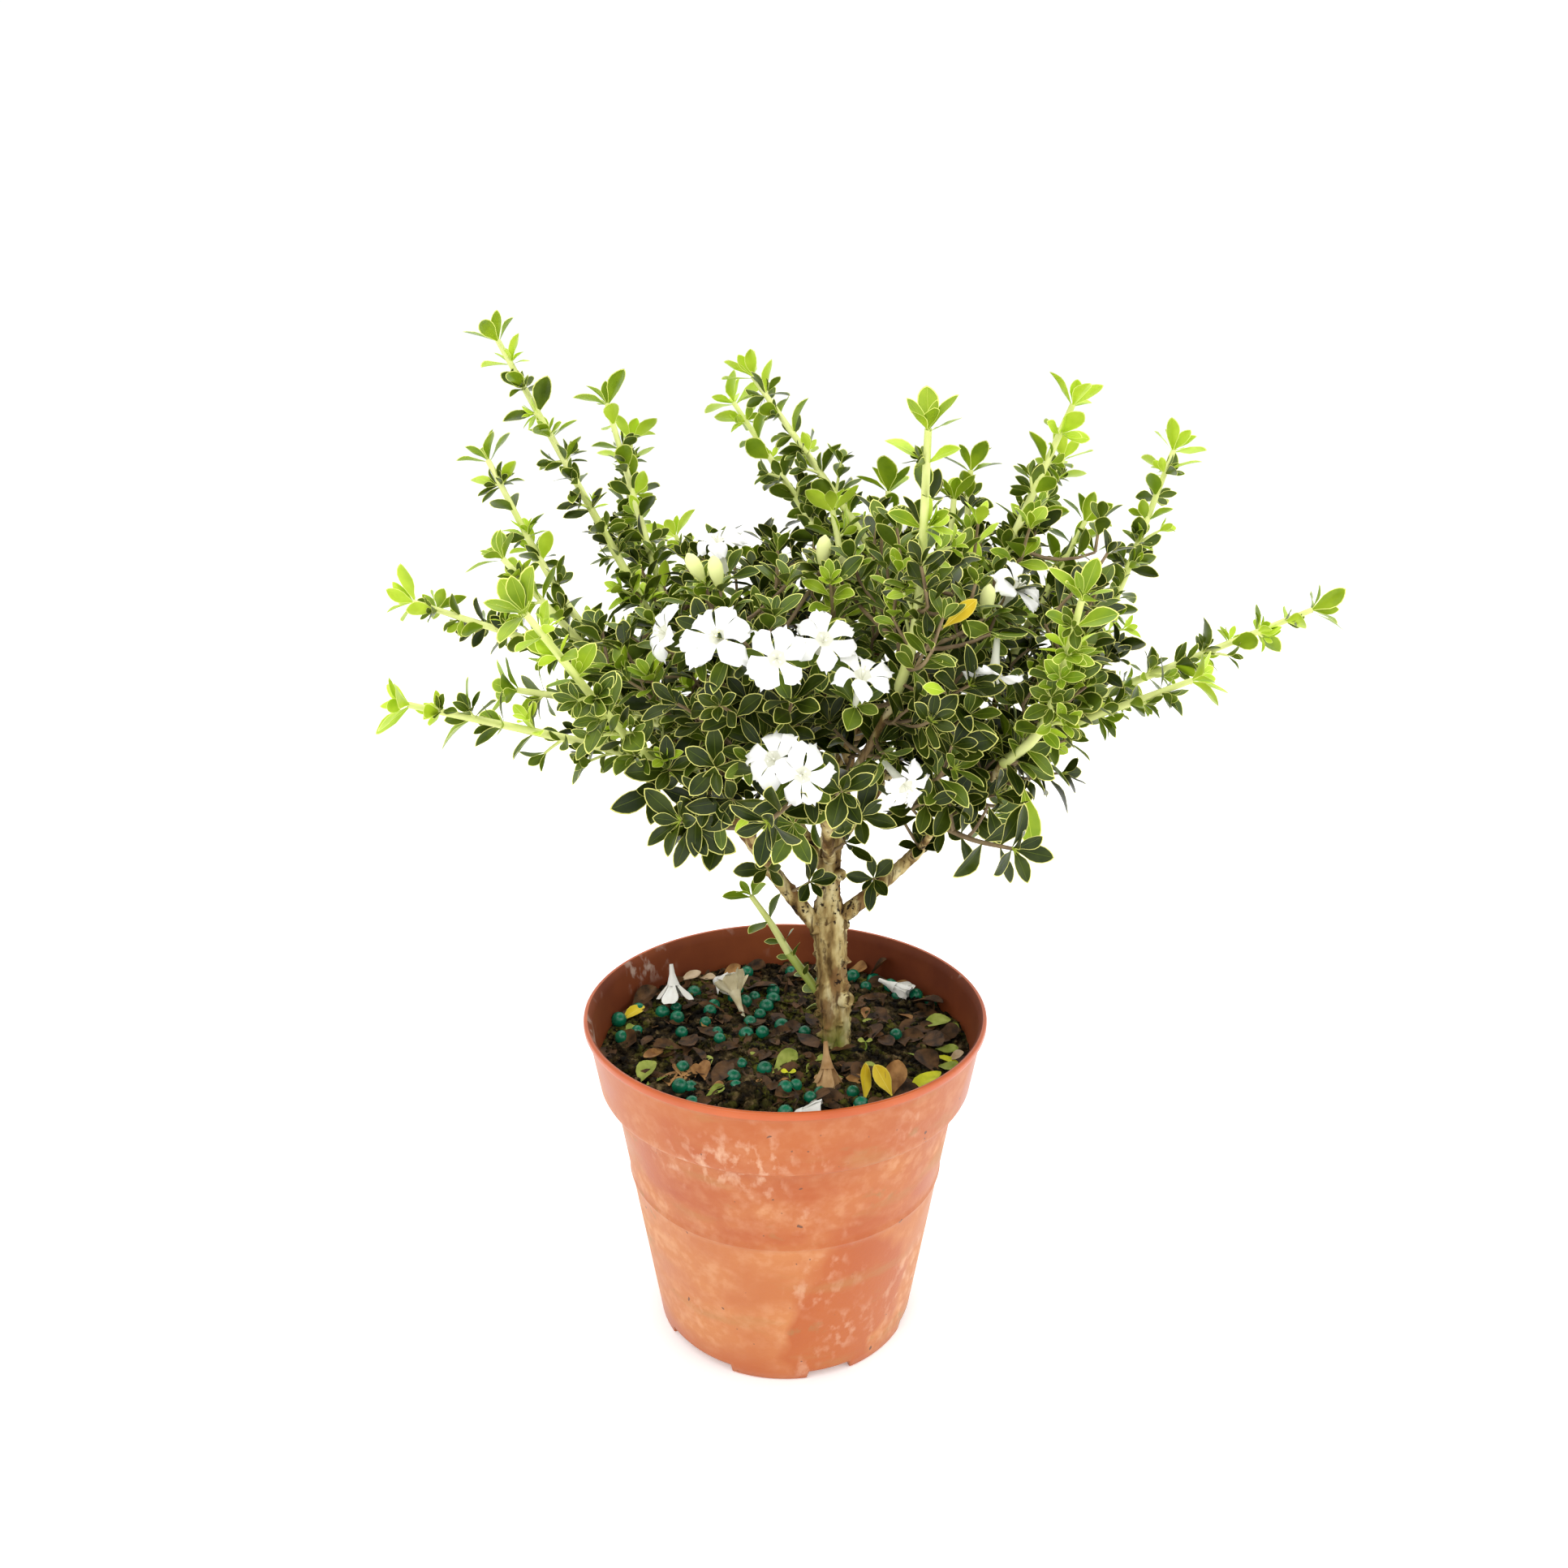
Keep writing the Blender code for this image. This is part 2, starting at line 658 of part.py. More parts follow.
def blossom_mesh(foot, heading):
    """A funnel-shaped flower: a cone whose open end is a star of petals round a hollow throat."""
    work = bmesh.new()
    bmesh.ops.create_cone(
        work,
        cap_ends=True,
        cap_tris=True,
        segments=2 * PETALS,
        radius1=0.0,
        radius2=BLOSSOM_R,
        depth=BLOSSOM_LENGTH,
    )
    for vertex in work.verts:
        x, y, z = vertex.co
        out = math.hypot(x, y)
        if z < 0 or out < 0.1 * BLOSSOM_R:
            continue
        petal = round(math.atan2(y, x) / (math.pi / PETALS)) % 2
        shrink = PETAL_NOTCH if petal else 1.0
        vertex.co = (x * shrink, y * shrink, z - (0.0 if petal else 0.12 * BLOSSOM_LENGTH))
    bmesh.ops.remove_doubles(work, verts=work.verts, dist=WELD)
    turn = heading.to_track_quat("Z", "Y").to_matrix().to_4x4()
    turn.translation = foot + heading * BLOSSOM_LENGTH * 0.42
    work.transform(turn)
    mesh = bpy.data.meshes.new("blossom")
    work.to_mesh(mesh)
    work.free()
    return mesh


def mesh_points(mesh):
    """A mesh's corners and three places along each of its edges."""
    corners = np.array([v.co for v in mesh.vertices])
    ends = np.array([edge.vertices for edge in mesh.edges])
    a, b = corners[ends[:, 0]], corners[ends[:, 1]]
    return np.concatenate([corners] + [a + (b - a) * share for share in (0.25, 0.5, 0.75)])


def path_points(path):
    """Places along a path, closely spaced, without its first stretch inside the parent twig."""
    return [place_along(path, share / 12)[0] for share in range(2, 13)]


class Mass:
    """Grows one mass of foliage: shoots, side twigs, leaves and blossoms, then joins them to one solid."""

    def __init__(self, name, shoots, space, finish, seed):
        self.name = name
        self.shoots = shoots
        self.space = space
        self.finish = finish
        self.dice = random.Random(seed)
        self.group = collection(name + "_pieces")
        self.kept_clear = []

    def add_leaf(self, foot, twig_way, roll, spread_deg, length):
        out = sideways(twig_way, roll)
        spread = math.radians(spread_deg)
        heading = (twig_way * math.cos(spread) + out * math.sin(spread)).normalized()
        up = (twig_way * math.sin(spread) - out * math.cos(spread)).normalized()
        mesh = leaf_mesh(foot, heading, up, length, length * LEAF_SHARE)
        middle = foot + heading * length / 2
        if any((middle - flower).length < BLOSSOM_R for flower in self.kept_clear):
            return
        if self.space.holds(self.name, mesh_points(mesh), LEAF_CLEAR):
            mesh_object("leaf", mesh, self.group)

    def pair(self, foot, way, roll, spread, length):
        for side in (0, math.pi):
            turn = roll + side + self.dice.uniform(-0.25, 0.25)
            slip = way * self.dice.uniform(-0.6, 0.6) * MM
            self.add_leaf(foot + slip, way, turn, spread, length * self.dice.uniform(0.9, 1.1))

    def whorl(self, foot, way, count, spread, length):
        start = self.dice.uniform(0, 2 * math.pi)
        for i in range(count):
            roll = start + 2 * math.pi * i / count + self.dice.uniform(-0.2, 0.2)
            slip = way * i * WHORL_STEP
            self.add_leaf(foot - slip, way, roll, spread + self.dice.uniform(-12, 12), length)

    def shoot_leaves(self, line):
        """Opposite pairs, each turned a quarter from the last, and a whorl at the tip."""
        count = max(2, round((line[-1] - line[0]).length / NODE_SPACING))
        for i in range(1, count):
            share = i / count
            place, way = place_along(line, share)
            size = SHOOT_LEAF * (1.0 - 0.2 * share)
            self.pair(place, way, i * math.pi / 2, SHOOT_SPREAD, size)
        place, way = place_along(line, 1.0)
        self.whorl(place - way * WHORL_STEP, way, TIP_LEAVES, TIP_SPREAD, SHOOT_LEAF * 0.85)

    def grow_twig(self, target):
        """The shortest twig from the shoot to a place that stays in the mass's own room, or None."""
        line, _ = self.shoots[0]
        feet = [place_along(line, share)[0] for share in TWIG_FEET]
        for foot in sorted(feet, key=lambda place: (place - target).length):
            reach = (target - foot).length
            if not TWIG_SHORTEST < reach < TWIG_REACH:
                continue
            path = arc_path(foot, target, TWIG_SAG * reach, TWIG_POINTS)
            if self.space.holds(self.name, path_points(path), TWIG_CLEAR):
                return path
        return None

    def add_twig(self, path):
        tube("twig", path, taper(TWIG_R, TWIG_TIP_R, TWIG_POINTS), STEM_SIDES, self.group)

    def side_twig(self, tip):
        """A twig with a pair of leaves along it and a whorl at its tip."""
        path = self.grow_twig(Vector(tip))
        if path is None:
            return False
        self.add_twig(path)
        place, way = place_along(path, 0.62)
        self.pair(place, way, self.dice.uniform(0, math.pi), CROWN_SPREAD, CROWN_LEAF * 0.9)
        place, way = place_along(path, 0.98)
        self.whorl(place, way, TWIG_LEAVES, CROWN_SPREAD, CROWN_LEAF)
        return True

    def crown_place(self):
        """A seeded place in the crown's outer part, in metres."""
        turn = self.dice.uniform(0, 2 * math.pi)
        out = math.sqrt(self.dice.uniform(0.0, 1.0))
        rise = self.dice.uniform(-1, 1)
        if out**2 + rise**2 > 1 or out**2 + rise**2 < CROWN_SHELL**2:
            return None
        return (
            CROWN_CENTRE[0] + CROWN_R[0] * out * math.cos(turn),
            CROWN_CENTRE[1] + CROWN_R[1] * out * math.sin(turn),
            (CROWN_LOW + CROWN_HIGH) / 2 + (CROWN_HIGH - CROWN_LOW) / 2 * rise,
        )

    def side_twigs(self, taken, wanted):
        """Side twigs spread evenly: each tip keeps its distance from every other."""
        made = 0
        for _ in range(TWIG_TRIES):
            if made == wanted:
                return
            tip = self.crown_place()
            if tip is None or any((Vector(tip) - other).length < TWIG_SPACING for other in taken):
                continue
            if self.side_twig(tip):
                taken.append(Vector(tip))
                made += 1

    def blossoms(self, twigs):
        """A flower on the end of each of the mass's flower twigs, where it fits."""
        for path, _ in twigs:
            middle = min((Vector(place) * MM for place in BLOSSOMS), key=lambda p: (p - path[-1]).length)
            way = flower_way(middle)
            mesh = blossom_mesh(middle - way * BLOSSOM_LENGTH, way)
            if self.space.holds(self.name, mesh_points(mesh), GAP):
                self.add_twig(path)
                mesh_object("blossom", mesh, self.group)
                self.kept_clear.append(middle)

    def drop_leaf_at(self, place):
        """Takes out the leaf nearest to a seam that didn't close."""
        leaves = [obj for obj in self.group.objects if obj.name.startswith("leaf")]
        nearest = min(leaves, key=lambda leaf: min((v.co - place).length for v in leaf.data.vertices))
        bpy.data.objects.remove(nearest)

    def joined(self):
        """The first shoot's stem with everything else fused to it."""
        line, sizes = self.shoots[0]
        stem = tube(self.name, line, sizes, STEM_SIDES, PLANT, self.finish)
        for line, sizes in self.shoots[1:]:
            tube("shoot", line, sizes, STEM_SIDES, self.group)
        before = stem.data
        for _ in range(JOIN_TRIES):
            stem.data = before
            boolean(stem, "UNION", group=self.group, weld=FINE_WELD)
            drop_scraps(stem.data)
            seams = open_seams(stem.data)
            if not seams:
                break
            self.drop_leaf_at(seams[0])
        stem.data.materials.clear()
        stem.data.materials.append(self.finish)
        empty_out(self.group)
        bpy.data.collections.remove(self.group)


def drop_scraps(mesh):
    """Keeps only the largest piece of a mesh whose faces join edge to edge."""
    work = bmesh.new()
    work.from_mesh(mesh)
    bmesh.ops.triangulate(work, faces=work.faces)
    seen, islands = set(), []
    for face in work.faces:
        if face in seen:
            continue
        island, queue = [], [face]
        seen.add(face)
        while queue:
            here = queue.pop()
            island.append(here)
            for edge in here.edges:
                for there in edge.link_faces:
                    if there not in seen:
                        seen.add(there)
                        queue.append(there)
        islands.append(island)
    islands.sort(key=len)
    for island in islands[:-1]:
        bmesh.ops.delete(work, geom=island, context="FACES")
    work.to_mesh(mesh)
    work.free()


def build_masses(lines):
    """Every mass of foliage, each in its own room and with its own seed."""
    shoots = shoot_lines(lines)
    limb_segments = to_segments(lines.values())
    flowers = flower_twigs(shoots, limb_segments)
    space = Space(shoots, flowers, limb_segments)
    taken = []
    for seed, (name, paths) in enumerate(shoots.items()):
        mass = Mass(name, paths, space, FINISHES["leaf"], FIRST_SEED + seed)
        mass.blossoms(flowers[name])
        for line, _ in paths:
            mass.shoot_leaves(line)
        mass.side_twigs(taken, TWIGS_EACH)
        mass.joined()


clear_scene()
PLANT = collection("potted_serissa")
CUTTERS = collection("cutters")
GUIDES = collection("guides")
SECTIONS = {}
FINISHES = {
    "terracotta": material("terracotta", (0.70, 0.24, 0.10), 0.5),
    "soil": material("soil", (0.03, 0.02, 0.015), 0.95),
    "bark": material("bark", (0.30, 0.21, 0.12), 0.85),
    "leaf": material("leaf", (0.10, 0.22, 0.04), 0.45),
}
build_pot()
build_soil()
LINES = limb_lines()
build_limbs(LINES)
build_masses(LINES)
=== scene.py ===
"""The looks of a potted mount fuji serissa: a pot, its soil and litter, bark, twigs, leaves and flowers."""

import math
import random

import bmesh
import bpy
import numpy as np
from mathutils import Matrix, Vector, noise


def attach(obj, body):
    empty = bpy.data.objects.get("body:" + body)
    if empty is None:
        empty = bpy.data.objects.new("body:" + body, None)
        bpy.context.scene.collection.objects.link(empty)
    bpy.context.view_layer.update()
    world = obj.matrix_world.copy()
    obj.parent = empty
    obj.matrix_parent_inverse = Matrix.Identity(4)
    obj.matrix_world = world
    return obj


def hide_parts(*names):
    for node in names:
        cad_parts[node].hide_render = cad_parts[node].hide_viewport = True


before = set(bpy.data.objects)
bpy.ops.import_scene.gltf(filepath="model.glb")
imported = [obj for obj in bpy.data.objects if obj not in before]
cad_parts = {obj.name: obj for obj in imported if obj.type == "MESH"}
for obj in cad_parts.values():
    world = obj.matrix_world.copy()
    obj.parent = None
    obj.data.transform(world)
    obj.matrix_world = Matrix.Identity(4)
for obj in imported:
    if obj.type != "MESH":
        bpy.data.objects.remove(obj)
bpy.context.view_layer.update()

MM = 0.001
DICE = random.Random(7)
RNG = np.random.default_rng(11)

# Camera: fitted to the photo.
CAMERA_AT = (-0.36 * MM, -331.2 * MM, 273.7 * MM)
CAMERA_PITCH = 17.19
CAMERA_LENS = 28.0
SENSOR = 36.0

# Lamps: name, place in m, power, size and colour. Then the place they light, the sky's strength, and the
# floor's half width and height in mm.
LAMPS = (
    ("key", (-0.7, -0.9, 1.3), 5.0, 0.9, (1.0, 0.99, 0.97)),
    ("fill", (1.1, -0.7, 0.9), 4.5, 1.0, (1.0, 0.99, 0.97)),
    ("top", (0.1, 0.3, 1.5), 9.0, 1.2, (1.0, 1.0, 1.0)),
)
LIT_PLACE = Vector((0, 0, 0.16))
SKY = 1.04
FLOOR_HALF = 4000.0
FLOOR_Z = -0.2

# Pot, in mm: the same sizes as the source's. The lip's rows are drawn in and down from the rim, the ledge's
# out and up from the ledge.
RIM_R = 60.0
RIM_Z = 102.0
COLLAR_Z = 80.0
COLLAR_R = 55.7
BODY_TOP_R = 52.2
FOOT_R = 39.9
LEDGE_Z = 51.4
WALL = 1.3
PLATE_LOW = 3.0
PLATE_TOP = 5.0
PAD_R = 12.0
FOOT_RING = 1.7
NOTCH_HEIGHT = 2.7
NOTCHES = ((229.0, 36.0), (289.0, 18.5))
NOTCH_REPEAT = 3
POT_STEPS = 360
LIP = ((1.15, 0.15), (0.75, 0), (0.35, 0.08), (0.08, 0.35), (0, 0.8), (0, 1.7), (0.2, 2.2))
LEDGE = ((0.35, 0.2), (0.32, -0.1), (-0.05, -0.5))

# Soil, in mm: its level, its radius, its mound at the trunk, and the scale, slice and height of each noise in
# its top.
SOIL_Z = 88.0
SOIL_R = 56.2
SOIL_LIFT = 0.4
MOUND = 1.6
MOUND_FALL = 0.14
SOIL_WAVES = ((0.09, 3.1, 1.5), (0.33, 8.2, 0.9), (1.1, 1.7, 0.5))

# Loose things on the soil, in mm: crumbs and how far they keep from the trunk, a heap of more in front, small
# dead leaves with their kinds' shares, and the seedlings with the kind of their leaves.
CRUMBS = 2600
CRUMBS_CLEAR = 6.2
HEAP_CRUMBS = 90
HEAP_AT = (-11, -32)
HEAP_R = 7
DEAD_LEAVES = 320
DEAD_CLEAR = 8.0
DEAD_KINDS = {"umber": 0.92, "tan": 0.05, "olive": 0.03}
SEEDLINGS_AT = ((1, -22, "lemon"), (24, -5, "olive"))

# Trunk: places and radii in mm, from the soil to its leader's tip.
TRUNK_LINE = (
    (15.8, -1.0, 85.5, 4.6),
    (15.6, -1.0, 88.4, 4.3),
    (15.4, -1.0, 92.0, 4.2),
    (15.0, -0.9, 97.0, 4.5),
    (14.6, -0.6, 103.0, 4.9),
    (14.0, -0.2, 109.0, 4.5),
    (13.8, 0.0, 115.0, 4.4),
    (13.4, 0.4, 123.0, 4.9),
    (12.9, 0.6, 130.0, 5.0),
    (12.8, 0.9, 137.0, 3.4),
    (13.0, 1.4, 150.0, 3.4),
    (15.4, 2.4, 166.0, 2.5),
    (18.4, 3.4, 181.0, 1.9),
    (21.0, 4.0, 193.0, 1.5),
)

# Boughs: parent, place along it (0 foot, 1 tip), tip in mm, foot radius, tip radius, upward bow in mm.
BOUGHS = {
    "bough_left": ("trunk", 0.33, (-28, -8, 188), 2.6, 1.3, -4),
    "bough_right": ("trunk", 0.37, (68, 4, 183), 2.4, 1.2, -3),
    "bough_back_left": ("trunk", 0.52, (-20, 28, 198), 2.0, 1.1, -3),
    "bough_back_right": ("trunk", 0.60, (52, 26, 204), 2.0, 1.1, -4),
    "bough_front": ("trunk", 0.56, (10, -36, 188), 1.9, 1.0, -4),
    "branch_low_left": ("bough_left", 0.62, (-32, -27, 180), 1.4, 0.9, -1),
    "branch_front_left": ("bough_left", 0.48, (-16, -34, 188), 1.4, 0.9, -2),
    "branch_left": ("bough_left", 0.78, (-44, 8, 196), 1.3, 0.9, -1),
    "branch_under_left": ("bough_left", 0.36, (-10, -24, 166), 1.2, 0.8, -1),
    "branch_left_tall": ("bough_back_left", 0.60, (-32, 12, 205), 1.3, 0.9, -1),
    "branch_back_low": ("bough_back_left", 0.45, (-8, 44, 188), 1.2, 0.9, -1),
    "branch_top_left": ("trunk", 0.86, (28, 18, 212), 1.2, 0.9, -1),
    "branch_top_back": ("trunk", 0.80, (10, 26, 208), 1.2, 0.9, -1),
    "branch_right_tall": ("trunk", 0.90, (42, -6, 208), 1.2, 0.9, -1),
    "branch_front_tall": ("bough_front", 0.60, (27, -36, 204), 1.2, 0.9, -1),
    "branch_front_upper": ("bough_front", 0.45, (-2, -22, 198), 1.2, 0.8, 0),
    "branch_front_right": ("bough_right", 0.58, (56, -30, 186), 1.3, 0.9, -1),
    "branch_under_right": ("bough_right", 0.40, (40, -26, 168), 1.2, 0.8, -1),
    "branch_right_mid": ("bough_right", 0.70, (62, 16, 194), 1.2, 0.9, 0),
    "branch_back": ("bough_back_right", 0.45, (20, 46, 192), 1.2, 0.9, -1),
    "branch_back_right": ("bough_back_right", 0.62, (50, 44, 196), 1.2, 0.9, -1),
    "branch_far_right": ("bough_back_right", 0.80, (70, 32, 200), 1.2, 0.9, -1),
    "shoot_low": ("trunk", 0.10, (1, 4, 117), 1.3, 1.2, 0),
}

# Masses: the limb they grow from, and for each long shoot a place it passes and its tip, in mm.
MASSES = {
    "mass_left_mid": ("bough_left", ((-48, 0, 203), (-79, -5, 240)),
                      ((-60, 8, 220), (-85, 18, 265)),
                      ((-54, -12, 198), (-76, -20, 204))),
    "mass_far_right": ("bough_right", ((80, 10, 190), (155, 14, 221)), ((76, -8, 190), (112, -20, 208))),
    "mass_left_back": ("bough_back_left", ((-34, 30, 215), (-56, 60, 280)),
                       ((-45, 45, 227), (-49, 70, 269))),
    "mass_right_back": ("bough_back_right", ((66, 30, 227), (87, 55, 263)), ((52, 26, 230), (54, 34, 262))),
    "mass_front": ("bough_front", ((6, -48, 186), (-4, -62, 181))),
    "mass_centre_top": ("trunk", ((28, 14, 232), (29, 22, 257)), ((16, 10, 230), (12, 16, 252))),
    "mass_low_left": ("branch_low_left", ((-38, -30, 188), (-94, -55, 209))),
    "mass_front_left": ("branch_front_left", ((-34, -38, 190), (-58, -75, 236))),
    "mass_left": ("branch_left", ((-57, 10, 205), (-114, 25, 221))),
    "mass_under_left": ("branch_under_left", ((-18, -36, 171), (-26, -46, 176))),
    "mass_left_tall": ("branch_left_tall", ((-37, 20, 212), (-84, 35, 297))),
    "mass_back_low": ("branch_back_low", ((-22, 70, 205), (-40, 96, 236))),
    "mass_top_left": ("branch_top_left", ((28, 26, 229), (-13, 60, 287))),
    "mass_top_back": ("branch_top_back", ((14, 36, 229), (-19, 76, 279))),
    "mass_right_tall": ("branch_right_tall", ((53, -4, 224), (78, 5, 280)), ((44, 2, 226), (46, 8, 256))),
    "mass_front_tall": ("branch_front_tall", ((31, -45, 227), (30, -65, 275))),
    "mass_front_upper": ("branch_front_upper", ((-10, -34, 214), (-18, -42, 222))),
    "mass_front_right": ("branch_front_right", ((64, -40, 200), (67, -60, 238))),
    "mass_under_right": ("branch_under_right", ((48, -38, 168), (56, -50, 170))),
    "mass_right_mid": ("branch_right_mid", ((67, 20, 206), (92, 40, 246))),
    "mass_back": ("branch_back", ((20, 78, 212), (16, 108, 244))),
    "mass_back_right": ("branch_back_right", ((66, 68, 210), (84, 92, 238))),
    "mass_far_right_back": ("branch_far_right", ((93, 32, 208), (122, 60, 266))),
    "mass_shoot_low": ("shoot_low", ((-4, 2, 127), (-10, 0, 137))),
}

# Blossoms: the middle of each open flower, the way it faces and its petals' reach, in mm.
BLOSSOMS = (
    ((-16, -52, 223), (-0.25, -0.80, 0.50), 10.0),
    ((-2, -58, 219), (0.10, -0.85, 0.35), 8.4),
    ((9, -50, 222), (0.15, -0.80, 0.50), 8.2),
    ((18, -52, 214), (0.10, -0.55, 0.80), 8.0),
    ((-3, -57, 195), (-0.25, -0.90, 0.35), 8.2),
    ((4, -60, 192), (0.25, -0.95, 0.20), 8.6),
    ((29, -50, 186), (0.45, -0.60, -0.60), 8.2),
    ((50, -44, 212), (0.05, -0.50, -0.85), 8.2),
    ((58, -27, 231), (0.50, -0.50, 0.70), 8.2),
    ((-30, -36, 221), (-0.80, -0.45, 0.35), 8.0),
    ((-18, -6, 240), (-0.20, -0.30, 0.90), 7.6),
    ((29, 2, 246), (0.00, -0.50, 0.85), 7.8),
    ((-36, 50, 214), (-0.50, 0.70, 0.40), 8.2),
    ((12, 64, 222), (0.00, 0.90, 0.40), 8.2),
    ((48, 66, 210), (0.40, 0.90, 0.20), 8.2),
    ((24, 46, 238), (0.10, 0.50, 0.80), 8.2),
)

# Closed pale buds: place and heading.
BUDS = (
    ((-16, -32, 231), (-0.2, -0.1, 1.0)),
    ((9, -24, 235), (0.1, -0.1, 1.0)),
    ((49, -32, 224), (0.1, -0.1, 1.0)),
    ((-20, -28, 232), (-0.5, -0.1, 0.9)),
    ((13, -22, 233), (0.5, 0.0, 0.9)),
)

# Single leaves that stand out in the crown: kind, foot, heading, length in mm.
ODD_LEAVES = (
    ("yellow", (36, -53, 225), (0.6, -0.2, 0.6), 10.0),
    ("lime", (-8, -52, 180), (-0.5, -0.8, -0.3), 7.0),
    ("lime", (38, -48, 209), (-0.6, -0.6, 0.3), 7.5),
    ("fresh", (61, -32, 181), (0.20, -0.15, -1.0), 17.5),
    ("deep", (52, -34, 176), (0.35, -0.2, -1.0), 11.0),
    ("deep", (-22, -42, 178), (-0.1, -0.2, -1.0), 13.0),
    ("mid", (-17, -40, 176), (0.1, -0.1, -1.0), 10.0),
)

# Masses low in the crown, whose own shoots are short, brown and dark-leaved.
SHADED = ("mass_front", "mass_under_left", "mass_under_right", "mass_front_upper")

# Leaf finishes: the darker and lighter green, the roughness, the margin's colour and the midrib's.
LEAF_LOOKS = {
    "deep": ((0.014, 0.027, 0.001), (0.046, 0.068, 0.003), 0.36, (0.74, 0.72, 0.20), (0.085, 0.12, 0.01)),
    "mid": ((0.052, 0.088, 0.005), (0.128, 0.190, 0.011), 0.36, (0.86, 0.88, 0.24), (0.22, 0.30, 0.025)),
    "fresh": ((0.17, 0.28, 0.010), (0.32, 0.45, 0.016), 0.38, (0.90, 0.95, 0.24), (0.46, 0.58, 0.05)),
    "lime": ((0.40, 0.58, 0.020), (0.58, 0.76, 0.055), 0.42, (0.86, 0.94, 0.24), (0.72, 0.86, 0.15)),
    "yellow": ((0.62, 0.42, 0.010), (0.80, 0.62, 0.03), 0.45, (0.75, 0.60, 0.08), (0.85, 0.70, 0.10)),
}
LEAF_GLOSS = 0.24

# Colours of the fallen leaves: the darker and the lighter of each kind.
LITTER_COLOURS = {
    "olive": ((0.22, 0.28, 0.035), (0.42, 0.47, 0.10)),
    "lemon": ((0.50, 0.52, 0.012), (0.72, 0.72, 0.03)),
    "tan": ((0.20, 0.085, 0.022), (0.48, 0.25, 0.085)),
    "umber": ((0.018, 0.009, 0.003), (0.130, 0.062, 0.022)),
    "cream": ((0.46, 0.32, 0.18), (0.72, 0.58, 0.40)),
}

# Small leafy sprigs that stand on the bare boughs: place and leaf length, in mm.
SPRIGS = (
    ((7, -6, 143), 9.5), ((17, -6, 155), 9.5), ((25, -6, 144), 9.5), ((38, -6, 154), 8.5),
    ((32, -6, 163), 8.5), ((-5, -6, 147), 9.0), ((44, -8, 160), 9.0), ((-29, -36, 185), 12.0),
    ((-19, -40, 180), 12.5), ((-32, -32, 179), 12.0), ((-24, -38, 171), 13.0), ((-13, -42, 179), 11.0),
    ((-17, -44, 188), 11.5), ((60, -26, 184), 11.0), ((48, -22, 170), 10.0),
)

# Crown, in mm: a fan that widens upwards. Its top falls to the edge and slants up to the right, and its foot
# is hollow over the trunk and lifts to a skirt towards the edge.
CROWN_CENTRE = np.array((18.0, 2.0))
CROWN_R = np.array((70.0, 66.0))
CROWN_FRONT = 0.88
CROWN_LOW = 164.0
CROWN_HIGH = 238.0
CROWN_FALL = 10.0
CROWN_SLANT = 9.0
CROWN_HOLLOW = 32.0
CROWN_HOLLOW_R = 32.0
CROWN_SKIRT = 46.0
CROWN_SKIRT_FROM = 0.66
CROWN_ROOT = 150.0
CROWN_HEART = 172.0
SIDE_FROM = 42.0

# Tips of the fine twigs: their clumps, and the chances that one is dropped in the core, at the edge, the top
# or the back.
TIP_SPACING = 8.8
TIP_TRIES = 14000
CLUMP_SCALE = 0.05
CLUMP_LEVEL = -0.08
TOP_GAPS = 0.26
CORE = 0.5
CORE_RISE = (0.15, 0.6)
CORE_DROP = 0.7
EDGE_FROM = 0.7
EDGE_DROP = 0.5
TOP_DROP = 0.25
BACK_FROM = 15.0
BACK_DROP = 0.15

# Greens of the sprays: the share of each at the crown's foot, its change to the top, its rise from a level.
GREENS = {
    "deep": (0.88, -0.56, 0.0),
    "mid": (0.12, 0.30, 0.0),
    "fresh": (0.0, 0.0, 0.27),
    "lime": (0.0, 0.0, 0.10),
}
FRESH_FROM = 0.3
# The crown's sides take fresher greens: partly young growth, partly painted light where the sides catch the
# light.
SIDE_FRESHER = 0.25

# Wood and leaves of the crown, in mm and degrees. The leaves' length and spread are those at its foot, each
# with what it loses to the top.
TWIG_REACH = 30.0
SKELETON_STEP = 4.0
NODE_SPACING = 7.6
SHOOT_R = 1.45
SHOOT_TIP_R = 0.8
TWIG_R = 0.62
TWIG_TIP_R = 0.4
LEAF_LONG = 13.4
LEAF_SHORTER = 3.6
LEAF_SPREAD = 70
SPREAD_LESS = 22

# Leaf: rows along the blade, the margin's inner edge, and the midrib's half width and lift.
LEAF_ROWS = (0.0, 0.10, 0.26, 0.43, 0.60, 0.75, 0.87, 0.95, 1.0)
BLADE_COLUMNS = (-1.0, -0.5, 0.0, 0.5, 1.0)
MARGIN = 0.915
MARGIN_TIP = 0.03
RIB = 0.055
RIB_LIFT = 0.05

# Leaves on their twigs: width over length, and what each one's tilt, width, bend, fold, shape, roll, size and
# lean in degrees are drawn from. A rosette's inner leaves are shorter and steeper.
LEAF_SHAPE = 0.42
PAIR_SHAPE = 0.44
LEAF_TILT = 0.22
WIDTHS = (0.86, 1.14)
BENDS = (0.0, 2.0)
FOLDS = (0.3, 1.7)
OBOVATES = (-0.1, 0.5)
PAIR_ROLL = 0.2
PAIR_SIZES = (0.82, 1.12)
PAIR_LEAN = 10
WHORL = 2.4
ROSETTE_SIZES = (0.85, 1.15)
ROSETTE_LEAN = 9
INNER_SHORTER = 0.45
INNER_STEEPER = 0.5

# Fine twigs: the chance that one ends in a sprig, at the crown's foot and what its top adds, the reach of the
# sprig, the places of the leaf pairs, and the chance of a calyx.
SPRIG_CHANCE = 0.25
SPRIG_CHANCE_RISE = 0.6
SPRIG_REACH = (5, 13)
PAIR_PLACES = (0.45, 0.72)
CALYX_CHANCE = 0.4

